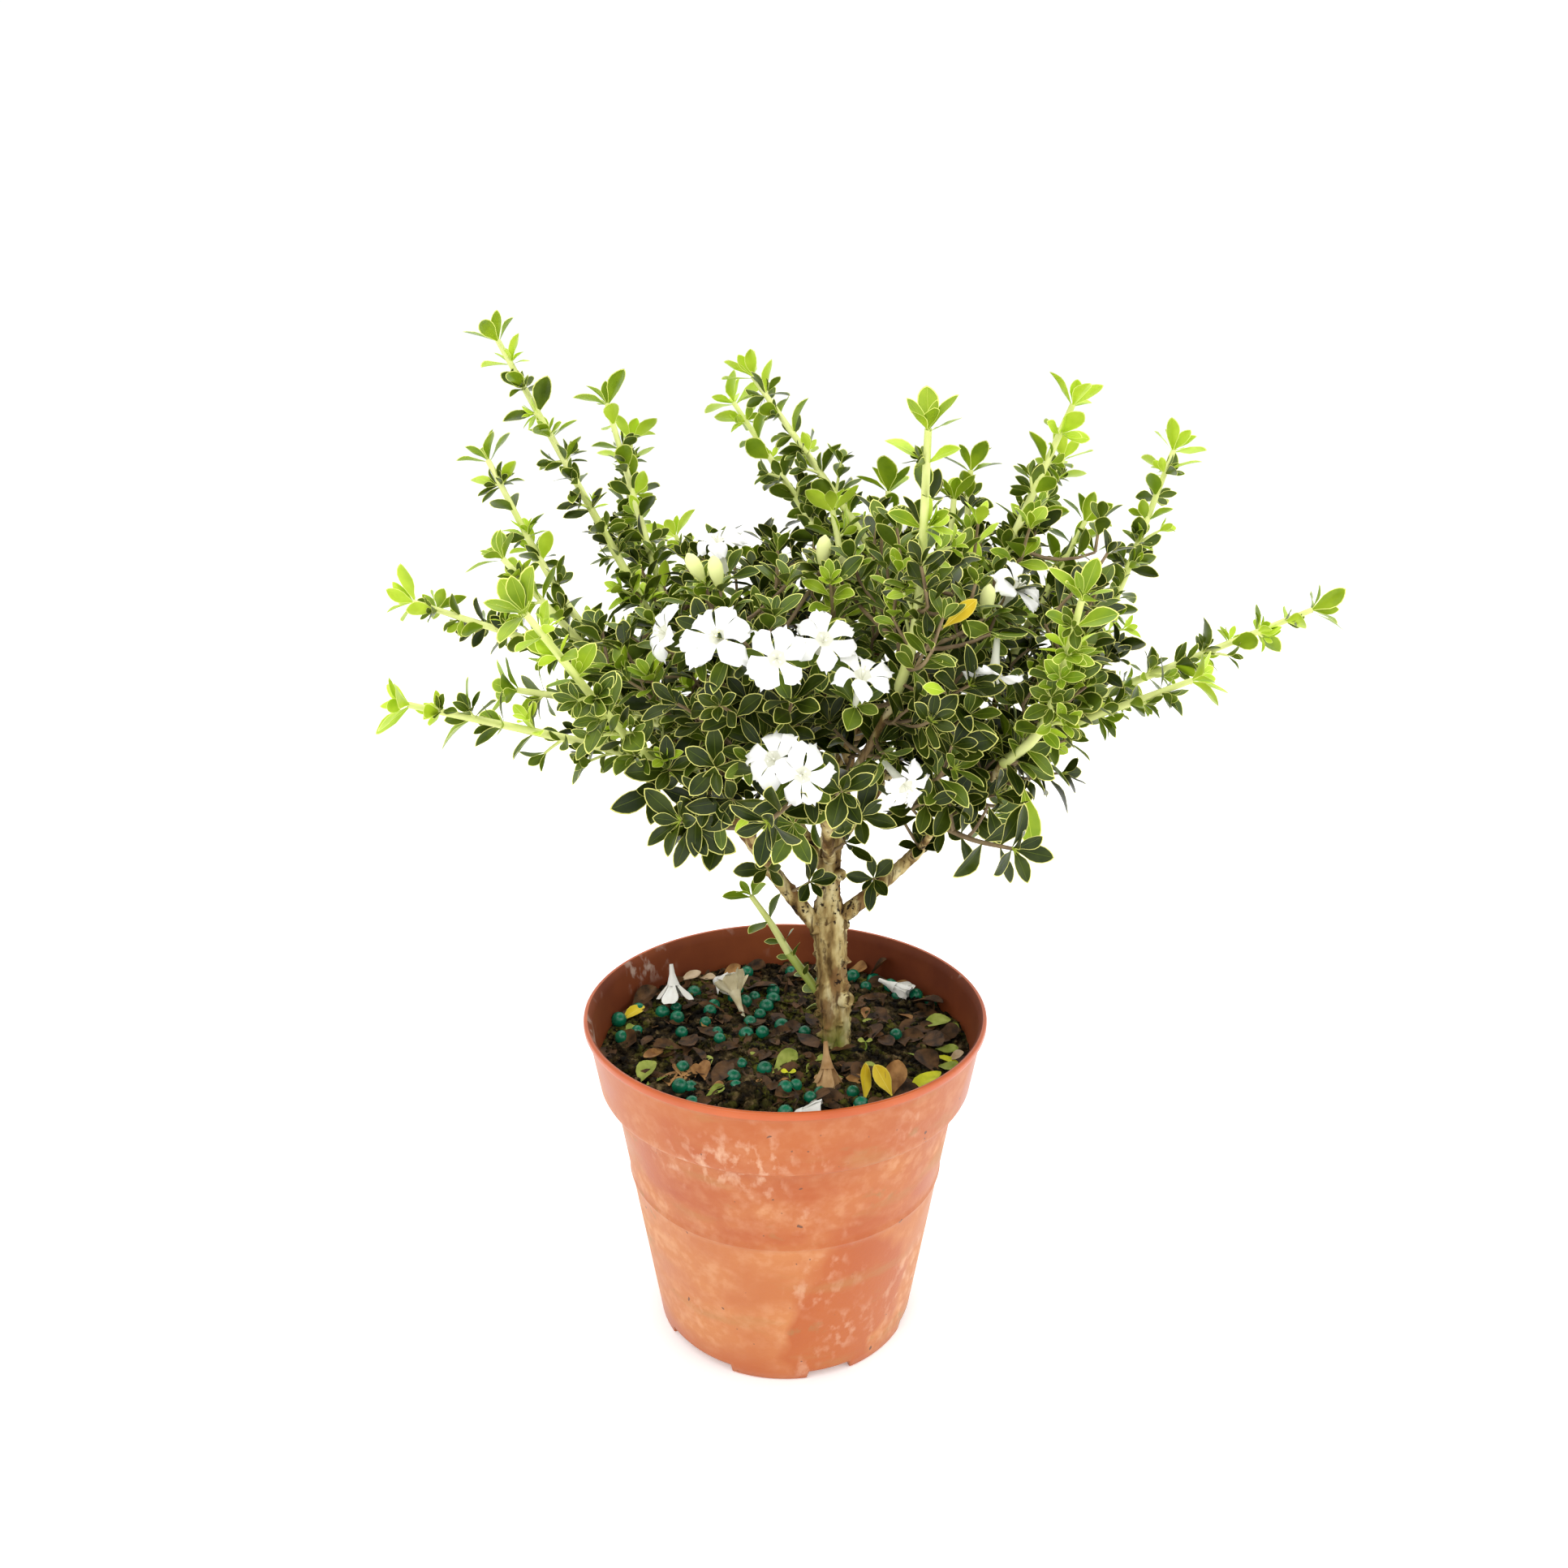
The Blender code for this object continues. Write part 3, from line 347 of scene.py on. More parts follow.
# Long shoots: the shares where leaves begin, turn fresh and turn lime, and the chances that a leaf beyond
# stays mid, that an axil has a tuft, and that a side sprig grows, up to a share.
SHOOT_BARE = 0.12
SHOOT_FRESH = 0.62
SHOOT_LIME = 0.88
MID_CHANCE = 0.3
TUFT_CHANCE = 0.62
SIDE_CHANCE = 0.75
SIDE_UNTIL = 0.7

# Bark by the limb's first word: sides, step in mm, relief and flare at the foot.
BARKS = {"trunk": (44, 0.7, 1.0, 0.0), "bough": (20, 1.0, 0.9, 0.35), "branch": (14, 1.0, 0.9, 0.35)}

# Open space kept in front of each flower: its length and radius, and the way to the viewer.
CLEAR_RUN = 30.0
CLEAR_R = 13.0
FRONT = np.array((0.0, -0.9, 0.35))
UP = np.array((0.0, 0.0, 1.0))

# Bark's relief: the scale of each noise along x, y and z, and its height as a share of the radius.
RIDGE = ((0.9, 0.9, 0.22), 0.16)
FLAKE = ((1.7, 1.7, 1.7), 0.08)
KNOB = ((0.45, 0.45, 0.45), 0.9)
KNOB_FROM = 0.35


# Mesh making

def placed(name, data, at=(0, 0, 0), turn=(0, 0, 0)):
    """A new object of the scene."""
    made = bpy.data.objects.new(name, data)
    made.location = at
    made.rotation_euler = turn
    bpy.context.scene.collection.objects.link(made)
    return made


def add_mesh(name, chunks, finish):
    """One object from chunks of (points in mm, faces), each face array having one number of corners."""
    chunks = [chunk for chunk in chunks if len(chunk[0])]
    points = np.concatenate([np.asarray(c[0], float).reshape(-1, 3) for c in chunks]) * MM
    loops, starts, first_point, first_loop = [], [], 0, 0
    for verts, faces in chunks:
        faces = np.asarray(faces)
        loops.append(faces.ravel() + first_point)
        starts.append(first_loop + np.arange(len(faces)) * faces.shape[1])
        first_point += len(np.asarray(verts).reshape(-1, 3))
        first_loop += faces.size
    mesh = bpy.data.meshes.new(name)
    mesh.vertices.add(len(points))
    mesh.vertices.foreach_set("co", points.ravel())
    mesh.loops.add(first_loop)
    mesh.loops.foreach_set("vertex_index", np.concatenate(loops).astype(np.int32))
    all_starts = np.concatenate(starts).astype(np.int32)
    mesh.polygons.add(len(all_starts))
    mesh.polygons.foreach_set("loop_start", all_starts)
    mesh.polygons.foreach_set("use_smooth", np.ones(len(all_starts), bool))
    mesh.update(calc_edges=True)
    mesh.validate()
    mesh.materials.append(finish)
    return placed(name, mesh)


def show(name, chunks, finish, slot, *stood_for):
    """A visible piece, which rides on the root and may stand for some of the source's nodes."""
    piece = add_mesh(name, chunks, finish)
    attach(piece, "root")
    if stood_for:
        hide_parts(*stood_for)


def grid_faces(rows, cols, wrap=False):
    """Quads of a grid of points in row order; wrap joins the last column to the first."""
    r = np.arange(rows - 1)[:, None]
    c = np.arange(cols if wrap else cols - 1)[None]
    n = (c + 1) % cols
    return np.stack([r * cols + c, r * cols + n, (r + 1) * cols + n, (r + 1) * cols + c], -1).reshape(-1, 4)


def sheet(points, wrap=False):
    """A grid of points with its quads."""
    return points.reshape(-1, 3), grid_faces(*points.shape[:2], wrap)


def capped(points):
    """Rings of points joined to a tube, with a cap on the last ring."""
    return [sheet(points, wrap=True), (points[-1], np.arange(points.shape[1])[None])]


def unit(v):
    v = np.asarray(v, float)
    return v / np.maximum(np.linalg.norm(v, axis=-1, keepdims=True), 1e-9)


def arc_path(start, end, bow, count):
    """Points from start to end on a curve whose middle is lifted by bow."""
    start, end = np.asarray(start, float), np.asarray(end, float)
    middle = (start + end) / 2 + np.array((0, 0, 2 * bow))
    t = np.linspace(0, 1, count)[:, None]
    return start * (1 - t) ** 2 + middle * (2 * t * (1 - t)) + end * t * t


def smooth_path(points, step):
    """A smooth curve through some points, with a point about every step mm."""
    points = np.asarray(points, float)
    ends = np.concatenate([[2 * points[0] - points[1]], points, [2 * points[-1] - points[-2]]])
    out = []
    for a, b, c, d in zip(ends, ends[1:], ends[2:], ends[3:]):
        count = max(1, int(np.linalg.norm(c - b) / step))
        for i in range(count):
            t = i / count
            out.append(0.5 * (2 * b + (c - a) * t + (2 * a - 5 * b + 4 * c - d) * t**2
                              + (3 * b - a - 3 * c + d) * t**3))
    out.append(points[-1])
    return np.array(out)


def lengths_along(path):
    return np.concatenate([[0], np.cumsum(np.linalg.norm(np.diff(path, axis=0), axis=1))])


def place_along(path, share):
    """The point at a share of a path's length, and the direction there."""
    run = lengths_along(path)
    at = share * run[-1]
    place = np.array([np.interp(at, run, path[:, k]) for k in range(3)])
    i = int(np.clip(np.searchsorted(run, at) - 1, 0, len(path) - 2))
    return place, unit(path[i + 1] - path[i])


def path_frames(path):
    """Two directions square to a path at each of its points, carried along without twist."""
    way = unit(np.gradient(path, axis=0))
    side = np.cross(way[0], (0.0, 0.0, 1.0))
    if np.linalg.norm(side) < 0.1:
        side = np.cross(way[0], (0.0, 1.0, 0.0))
    sides = []
    for heading in way:
        side = unit(side - heading * np.dot(side, heading))
        sides.append(side)
    sides = np.array(sides)
    return way, sides, np.cross(way, sides)


def ring_turns(sides):
    """Evenly spaced angles round a ring."""
    return np.linspace(0, 2 * math.pi, sides, endpoint=False)


def tube(path, radii, sides):
    """A round tube along a path, with rounded-off ends."""
    path, radii = np.asarray(path, float), np.asarray(radii, float)
    _, across, over = path_frames(path)
    turn = ring_turns(sides)
    ring = across[:, None] * np.cos(turn)[None, :, None] + over[:, None] * np.sin(turn)[None, :, None]
    return capped(path[:, None] + ring * radii[:, None, None])


# Leaves

def half_width(t):
    """Half the width of an obovate leaf at a share of its length, with a short narrow stalk."""
    t = np.asarray(t, float)
    body = np.sin(math.pi * np.clip(t, 0, 1) ** 1.35)
    return np.clip(body, 0, 1) ** 0.72 * (0.45 + 0.55 * np.clip(t / 0.4, 0, 1)) + 0.05 * (1 - t)


def leaf_outline(inset):
    """Rows of (x, half width) of the blade's edge, drawn in from the real edge by inset."""
    t = np.array(LEAF_ROWS)
    x = t * (1 - 2 * MARGIN_TIP * inset) + MARGIN_TIP * inset
    return x, half_width(t) * (1 - (1 - MARGIN) * inset)


def leaf_template():
    """The points (x, y, lift) of a leaf's blade, of its two margins and of its midrib."""
    x_in, w_in = leaf_outline(1.0)
    x_out, w_out = leaf_outline(0.0)
    rows = len(x_in)
    cols = np.array(BLADE_COLUMNS)
    blade = np.stack([np.repeat(x_in[:, None], 5, 1), w_in[:, None] * cols, np.zeros((rows, 5))], -1)
    flat, raised = np.zeros(rows), np.full(rows, RIB_LIFT)
    rib = RIB * (1 - 0.7 * x_in)
    edges = (((x_out, -w_out, flat), (x_in, -w_in, flat)), ((x_in, w_in, flat), (x_out, w_out, flat)),
             ((x_in, -rib, raised), (x_in, rib, raised)))
    strips = [np.stack([np.stack(left, -1), np.stack(right, -1)], 1).reshape(-1, 3) for left, right in edges]
    faces = grid_faces(rows, 2)
    margins = (np.concatenate(strips[:2]), np.concatenate([faces, faces + 2 * rows]))
    return (blade.reshape(-1, 3), grid_faces(rows, 5)), margins, (strips[2], faces)


BLADE, STRIPS, MIDRIB = leaf_template()


def shaped_leaves(flat, faces, leaves):
    """Every leaf's points: the flat template bent, folded and put in its place."""
    size, wide, bend, fold, obovate, phase = (
        np.array([leaf[key] for leaf in leaves])[:, None]
        for key in ("length", "width", "bend", "fold", "obovate", "phase"))
    x = flat[None, :, 0] * size
    y = flat[None, :, 1] * wide / 2 * (1 + obovate * (flat[None, :, 0] - 0.5))
    ripple = 0.022 * size * np.sin(8 * flat[None, :, 0] + phase) * np.abs(flat[None, :, 1])
    lift = fold * np.abs(y) - bend * size * flat[None, :, 0] ** 2 + ripple + flat[None, :, 2]
    foot = np.array([leaf["foot"] for leaf in leaves])
    heading = unit([leaf["heading"] for leaf in leaves])
    across = unit(np.cross([leaf["up"] for leaf in leaves], heading))
    above = np.cross(heading, across)
    points = (foot[:, None] + heading[:, None] * x[..., None] + across[:, None] * y[..., None]
              + above[:, None] * lift[..., None])
    count = len(flat)
    all_faces = (faces[None] + np.arange(len(leaves))[:, None, None] * count).reshape(-1, faces.shape[1])
    return points.reshape(-1, 3), all_faces


LEAVES = {kind: [] for kind in (*LEAF_LOOKS, *LITTER_COLOURS)}


def wobble(reach):
    """A number drawn from both sides of zero."""
    return DICE.uniform(-reach, reach)


def add_leaf(kind, foot, heading, up, length, shape=LEAF_SHAPE, bend=0.16, fold=0.25):
    """One leaf from its foot along a heading, its upper face towards up."""
    LEAVES[kind].append({
        "foot": foot,
        "heading": heading,
        "up": up + LEAF_TILT * RNG.normal(size=3),
        "length": length,
        "width": length * shape * DICE.uniform(*WIDTHS),
        "bend": bend * DICE.uniform(*BENDS),
        "fold": fold * DICE.uniform(*FOLDS),
        "obovate": DICE.uniform(*OBOVATES),
        "phase": DICE.uniform(0, 6.28),
    })


def spread_leaf(kind, foot, way, out, spread, length, shape):
    """A leaf that leaves its twig at spread degrees, its upper face towards the twig's tip."""
    angle = math.radians(spread)
    heading = way * math.cos(angle) + out * math.sin(angle)
    add_leaf(kind, foot, heading, way * math.sin(angle) - out * math.cos(angle), length, shape)


def square_to(way, roll):
    """A direction square to a heading, turned about it by roll."""
    side = np.cross(way, (0.0, 0.0, 1.0))
    if np.linalg.norm(side) < 0.1:
        side = np.cross(way, (0.0, 1.0, 0.0))
    side = unit(side)
    return side * math.cos(roll) + np.cross(way, side) * math.sin(roll)


def rosette(kind, foot, way, count, spread, length):
    """Leaves close round a twig's tip, the inner ones smaller and steeper."""
    start = DICE.uniform(0, 2 * math.pi)
    for i in range(count):
        inner = i / count
        out = square_to(way, start + i * WHORL)
        size = length * (1 - INNER_SHORTER * inner) * DICE.uniform(*ROSETTE_SIZES)
        lean = spread * (1 - INNER_STEEPER * inner) + wobble(ROSETTE_LEAN)
        spread_leaf(kind, foot - way * (0.8 - inner), way, out, lean, size, LEAF_SHAPE)


def rosette_at(path, share, kind, count, spread, length):
    """A rosette at a share of a path's length. Returns its place and the path's way there."""
    place, way = place_along(path, share)
    rosette(kind, place, way, count, spread, length)
    return place, way


def pair_at(path, share, kind, roll, spread, length, shape=PAIR_SHAPE):
    """Two opposite leaves at a share of a path's length. Returns their place and the path's way there."""
    place, way = place_along(path, share)
    for turn in (0, math.pi):
        out = square_to(way, roll + turn + wobble(PAIR_ROLL))
        size = length * DICE.uniform(*PAIR_SIZES)
        spread_leaf(kind, place, way, out, spread + wobble(PAIR_LEAN), size, shape)
    return place, way


# Limbs

def limb_lines():
    """Every limb's path and radii, from the trunk outwards, by the same table as the source's."""
    trunk = np.array([row[:3] for row in TRUNK_LINE], float)
    lines = {"trunk": (trunk, np.array([row[3] for row in TRUNK_LINE], float))}
    for name, (parent, share, tip, foot_r, tip_r, bow) in BOUGHS.items():
        base = lines[parent][0] if parent != "trunk" else trunk[1:]
        foot, _ = place_along(base, share)
        lines[name] = (arc_path(foot, tip, bow, 7), np.linspace(foot_r, tip_r, 7))
    return lines


def swelling(at, pattern):
    """One noise of the bark at a place, before its height is applied."""
    scales, _ = pattern
    return noise.noise(Vector((at[0] * scales[0], at[1] * scales[1], at[2] * scales[2])))


def bark_tube(path, radii, sides, step, relief, flare):
    """A limb with ridges, flakes and small knobs pushed out of its surface."""
    line = smooth_path(path, step)
    run = lengths_along(line)
    sizes = np.interp(run, lengths_along(path) * run[-1] / lengths_along(path)[-1], radii)
    sizes = sizes * (1 + flare * np.exp(-run / 3.5))
    _, across, over = path_frames(line)
    points = np.zeros((len(line), sides, 3))
    for i, centre in enumerate(line):
        for k, angle in enumerate(ring_turns(sides)):
            out = across[i] * math.cos(angle) + over[i] * math.sin(angle)
            at = centre + out * sizes[i]
            knob = max(0.0, swelling(at, KNOB) - KNOB_FROM)
            rough = RIDGE[1] * swelling(at, RIDGE) + FLAKE[1] * swelling(at, FLAKE) + KNOB[1] * knob
            points[i, k] = centre + out * sizes[i] * (1 + relief * rough)
    return capped(points)


# Pruned stubs and swellings on the wood: place, the way each faces, and radius, in mm.
KNOTS = (
    ((18.0, -4.7, 105.8), (0.62, -0.78, 0.10), 2.3),
    ((8.6, -2.2, 127.5), (-0.85, -0.50, 0.10), 1.6),
    ((17.8, -1.4, 128.5), (0.90, -0.40, 0.20), 1.3),
    ((16.0, -2.2, 144.5), (0.70, -0.72, 0.10), 1.6),
    ((11.0, -1.5, 150.5), (-0.50, -0.80, 0.35), 1.5),
    ((9.8, -1.6, 99.5), (-0.8, -0.5, 0.0), 1.2),
    ((16.0, 4.0, 108.0), (0.2, 1.0, 0.1), 1.8),
    ((10.5, 4.0, 141.0), (-0.5, 0.8, 0.2), 1.4),
)

# Section of a knot: distance from its axis and height, as shares of its radius.
KNOT_SECTION = (
    (1.25, -1.2), (1.15, -0.3), (1.0, 0.45), (0.8, 0.7), (0.62, 0.5), (0.45, 0.05), (0.2, 0.0), (0.02, 0.15),
)


def knot(middle, facing, radius):
    """A healed stub: a collar of bark round a sunken face."""
    _, across, over = path_frames(np.array([middle, middle + facing]))
    across, over = across[0], over[0]
    turns = ring_turns(22)
    points = np.zeros((len(KNOT_SECTION), len(turns), 3))
    for i, (out, rise) in enumerate(KNOT_SECTION):
        for k, turn in enumerate(turns):
            spot = Vector((math.cos(turn) * 1.3 + middle[0], math.sin(turn) * 1.3, i * 0.4))
            rough = 1 + 0.12 * noise.noise(spot)
            ring = across * math.cos(turn) + over * math.sin(turn)
            points[i, k] = middle + (ring * out * rough + facing * rise) * radius
    return [sheet(points, wrap=True)]


# Crown

def hides_blossom(tip):
    """Whether a place lies in the open space that one of the flowers looks into."""
    for place, facing, _ in BLOSSOMS:
        way = unit(unit(facing) + (FRONT if place[1] < 0 else 0))
        away = tip - np.array(place)
        along = np.clip(np.dot(away, way), 0, CLEAR_RUN)
        if np.linalg.norm(away - along * way) < CLEAR_R:
            return True
    return False


def crown_room(x, y, out):
    """The lowest and highest places for a tip at x and y, at a share of the way out to the edge."""
    away = (x - CROWN_CENTRE[0]) ** 2 + (y - CROWN_CENTRE[1]) ** 2
    under = CROWN_HOLLOW * math.exp(-away / CROWN_HOLLOW_R**2)
    skirt = CROWN_SKIRT * max(0.0, out - CROWN_SKIRT_FROM) / (1 - CROWN_SKIRT_FROM)
    top = CROWN_HIGH - CROWN_FALL * out**2 + CROWN_SLANT * (x - CROWN_CENTRE[0]) / CROWN_R[0]
    return CROWN_LOW + max(under, skirt), top


def dropped_tip(tip, out, rise):
    """Whether a tip is left out, for the open core, the gaps between clumps and the thin edges."""
    if out < CORE and CORE_RISE[0] < rise < CORE_RISE[1] and DICE.random() < CORE_DROP:
        return True
    if noise.noise(Vector(tip) * CLUMP_SCALE) < CLUMP_LEVEL + TOP_GAPS * rise:
        return True
    edge = EDGE_DROP * max(0.0, out - EDGE_FROM) / (1 - EDGE_FROM)
    return DICE.random() < edge + TOP_DROP * rise + (BACK_DROP if tip[1] > BACK_FROM else 0.0)


def crown_tips():
    """Places for the ends of the fine twigs, spread through the crown's fan."""
    tips = []
    for _ in range(TIP_TRIES):
        turn = DICE.uniform(0, 2 * math.pi)
        out = math.sqrt(DICE.random())
        x = CROWN_CENTRE[0] + CROWN_R[0] * out * math.cos(turn)
        y = CROWN_CENTRE[1] + CROWN_R[1] * out * math.sin(turn)
        if y < 0:
            y *= CROWN_FRONT
        low, top = crown_room(x, y, out)
        z = DICE.uniform(low, top)
        tip = np.array((x, y, z))
        if dropped_tip(tip, out, (z - low) / (top - low)):
            continue
        if tips and np.min(np.linalg.norm(np.array(tips) - tip, axis=1)) < TIP_SPACING:
            continue
        if not hides_blossom(tip):
            tips.append(tip)
    return tips


class Skeleton:
    """The points that new twigs may grow from."""

    def __init__(self):
        self.points = np.zeros((0, 3))

    def add(self, path, low=0.0, high=1.0):
        run = lengths_along(path)
        count = max(2, int(run[-1] * (high - low) / SKELETON_STEP))
        places = [place_along(path, share)[0] for share in np.linspace(low, high, count)]
        self.points = np.concatenate([self.points, places])

    def nearest(self, tip):
        """The closest point that lies a little nearer to the crown's foot than the tip does."""
        gaps = np.linalg.norm(self.points - tip, axis=1)
        root = np.array((*CROWN_CENTRE, CROWN_ROOT))
        outer = np.linalg.norm(self.points - root, axis=1) > np.linalg.norm(tip - root) - 3
        gaps = gaps + 1000 * outer
        i = int(np.argmin(gaps))
        return self.points[i], gaps[i]


SHOOTS, TWIGS, CALYX, PETALS, THROATS, BUD_SKINS, SEEDLINGS = ([] for _ in range(7))


def add_twig(foot, tip, bow, radii, count=5, wood=TWIGS):
    """A fine twig from foot to tip, whose path is given back."""
    path = arc_path(foot, tip, bow, count)
    wood.extend(tube(path, np.linspace(*radii, count), 5))
    return path


def grow_twigs(skeleton):
    """Fine twigs from the nearest wood to each tip, nearest tips first, with leaves near their ends."""
    for tip in sorted(crown_tips(), key=lambda tip: skeleton.nearest(tip)[1]):
        foot, reach = skeleton.nearest(tip)
        if reach > TWIG_REACH:
            continue
        path = add_twig(foot, tip, -0.1 * reach, (TWIG_R, TWIG_TIP_R))
        skeleton.add(path, 0.3, 0.95)
        high = min(1.0, max(0.0, (tip[2] - CROWN_LOW) / (CROWN_HIGH - CROWN_LOW)))
        outward = unit(tip - np.array((*CROWN_CENTRE, CROWN_HEART)))
        along = place_along(path, 1.0)[1]
        way = unit(along * 0.4 + outward * (1.1 - 0.6 * high) + UP * (0.1 + 0.9 * high))
        # Sprays at the crown's sides take fresher greens, partly young growth and partly painted light.
        aside = abs(tip[0] - CROWN_CENTRE[0]) > SIDE_FROM
        kind = crown_kind(high + (SIDE_FRESHER if aside else 0.0))
        size = (LEAF_LONG - LEAF_SHORTER * high) * DICE.uniform(0.84, 1.16)
        spread = LEAF_SPREAD - SPREAD_LESS * high
        if DICE.random() < SPRIG_CHANCE + SPRIG_CHANCE_RISE * high:
            tip, way = sprig(tip, way, DICE.uniform(*SPRIG_REACH), kind, size * 0.92, spread - 8)
        else:
            rosette(kind, tip, way, DICE.choice((5, 6, 7)), spread, size)
        for share in PAIR_PLACES:
            if reach * share > 5:
                pair_at(path, share, kind, DICE.uniform(0, math.pi), 58, size * 0.85)
        if DICE.random() < CALYX_CHANCE:
            add_calyx(tip, way)


def crown_kind(high):
    """Which green a spray has: darker low in the crown, fresher near its top."""
    high = min(1.0, high)
    upper = max(0.0, high - FRESH_FROM)
    shares = [foot + change * high + rise * upper for foot, change, rise in GREENS.values()]
    return DICE.choices(list(GREENS), shares)[0]


def sprig(foot, way, run, kind, size, spread, wood=TWIGS):
    """A short leafy end of a twig: crossed pairs and a small rosette. Returns its tip and heading."""
    lean = unit(way + 0.18 * RNG.normal(size=3))
    tip = foot + lean * run
    path = add_twig(foot, tip, 0.05 * run, (0.5, 0.38), 4, wood)
    count = max(1, int(run / 4.2))
    roll = DICE.uniform(0, math.pi)
    for i in range(count):
        pair_at(path, i / count, kind, roll + i * math.pi / 2, spread + 6, size * DICE.uniform(0.9, 1.1))
    rosette(kind, tip, lean, 5, spread - 6, size * 0.86)
    return tip, lean


def add_calyx(foot, way):
    """The spiky green cup that stays when a flower has dropped."""
    start = DICE.uniform(0, 2 * math.pi)
    for i in range(7):
        out = square_to(way, start + i * 2 * math.pi / 7)
        tip = foot + (way * 1.3 + out * DICE.uniform(1.0, 1.9)) * DICE.uniform(0.9, 1.3)
        spike = np.array([foot - way * 0.2, foot + (tip - foot) * 0.55, tip])
        CALYX.extend(tube(spike, (0.34, 0.2, 0.05), 4))


def grow_shaded(path, skeleton):
    """A short brown shoot low in the crown, with dark leaves."""
    TWIGS.extend(tube(path, np.linspace(0.9, 0.5, len(path)), 7))
    skeleton.add(path, 0.0, 0.8)
    for share in (0.4, 0.65, 0.85):
        pair_at(path, share, "deep", share * 20, 60, DICE.uniform(9.5, 12.5))
    add_calyx(*rosette_at(path, 1.0, "deep", 6, 62, 12.5))


def grow_sucker(path):
    """The end of the short shoot from the trunk's foot, with a few pairs of leaves and a pale tip."""
    SHOOTS.extend(tube(path, np.linspace(1.3, 0.8, len(path)), 10))
    for share, length in ((0.15, 6.5), (0.55, 8.0)):
        pair_at(path, share, "mid", 0.4 + share * 3, 58, length)
    rosette_at(path, 1.0, "fresh", 5, 58, 9.0)


def grow_shoot(path, skeleton):
    """A long young shoot: crossed pairs of leaves with small ones in their axils, and a pale tip."""
    SHOOTS.extend(tube(path, np.linspace(SHOOT_R, SHOOT_TIP_R, len(path)), 10))
    skeleton.add(path, 0.0, 0.45)
    rosette_at(path, 0.03, "deep", 5, 74, 11.5)
    count = max(2, int(lengths_along(path)[-1] / NODE_SPACING))
    for i in range(1, count):
        share = i / count
        if share < SHOOT_BARE:
            continue
        kind = "mid" if share < SHOOT_FRESH or DICE.random() < MID_CHANCE else "fresh"
        if share > SHOOT_LIME:
            kind = "lime"
        roll = i * math.pi / 2 + wobble(0.25)
        length = DICE.uniform(9.5, 12.0) * (1 - 0.15 * share)
        place, way = pair_at(path, share, kind, roll, 64 - 14 * share, length, 0.5)
        for turn in (0, math.pi):
            if DICE.random() < TUFT_CHANCE:
                out = unit(way + square_to(way, roll + turn) * 1.1)
                tuft = DICE.choice(("mid", "mid", "fresh", "lime"))
                reach = DICE.uniform(2.0, 6.0) * (1.25 - share)
                sprig(place, out, reach, tuft, DICE.uniform(5.5, 8.5), 50, SHOOTS)
        if share < SIDE_UNTIL and DICE.random() < SIDE_CHANCE:
            out = unit(way + square_to(way, roll + 1.5 + DICE.choice((0, math.pi))) * 0.8)
            reach = DICE.uniform(6, 14) * (1.2 - share)
            sprig(place, out, reach, crown_kind(0.8), DICE.uniform(7.0, 9.0), 46, SHOOTS)
    rosette_at(path, 1.0, DICE.choice(("lime", "fresh")), 7, 52, DICE.uniform(10.5, 12.5))


# Flowers

# Petal, in mm: its half width at shares of its length, where it leaves the mouth, and the usual reach.
PETAL_SHARES = (0.0, 0.3, 0.65, 0.85, 1.0)
PETAL_WIDTHS = (1.05, 1.8, 2.85, 2.7, 1.8)
PETAL_COUNT = 6
PETAL_ROWS = np.linspace(0, 1, 10)
PETAL_COLUMNS = np.linspace(-1, 1, 9)
PETAL_FOOT = 1.9
PETAL_REACH = 8.2

# Funnel of a flower and its mouth, as (step along the axis, radius), an anther's line as (out, up), in mm.
# A bud's sections are shares of its length and radius.
FUNNEL = ((-10.0, 0.7), (-5.0, 0.95), (-1.8, 1.35), (0.1, 2.2))
MOUTH = ((-1.5, 0.1), (-0.9, 0.9), (0.0, 2.1))
ANTHER = ((0.0, -1.5), (0.5, 0.6), (1.1, 1.9))
ANTHER_COUNT = 4
CALYX_BACK = 10.2
BUD_LONG = 8.5
BUD_R = 1.9
BUD_SECTION = ((0.0, 0.35), (0.2, 0.62), (0.45, 0.95), (0.7, 1.0), (0.88, 0.7), (1.0, 0.12))


def steps_along(middle, way, steps):
    """Points on a line through middle, at steps in mm along the way."""
    return np.array([middle + way * step for step in steps])


def petal_sheet(rows, columns, place):
    """A petal's surface. Its rule place gives a point from the row, the column and the half width there."""
    widths = [float(np.interp(r, PETAL_SHARES, PETAL_WIDTHS)) for r in rows]
    return sheet(np.array([[place(r, c, wide) for c in columns] for r, wide in zip(rows, widths)]))


def add_petal(k, middle, over, turn, size):
    """One petal, with three small lobes at its end."""
    out = square_to(over, turn)
    side = np.cross(over, out)
    reach = size * DICE.uniform(0.9, 1.06)
    curl = DICE.uniform(0.2, 3.6)
    sway = wobble(0.25)
    slim = DICE.uniform(0.88, 1.05) * size / PETAL_REACH

    def place(r, c, wide):
        lobe = 1.0 - 0.17 * abs(math.sin(1.5 * math.pi * c)) - 0.26 * abs(c) ** 3
        x = PETAL_FOOT + (reach - PETAL_FOOT) * r * (1 - (1 - lobe) * r * r)
        ripple = 0.3 * math.sin(c * 5.5 + k) * r
        lift = 1.3 * math.sin(math.pi * r * 0.8) - curl * r * r + ripple + 0.5 * abs(c) * r
        return middle + out * x + side * (wide * slim * c + sway * reach * r * r) + over * lift

    PETALS.append(petal_sheet(PETAL_ROWS, PETAL_COLUMNS, place))


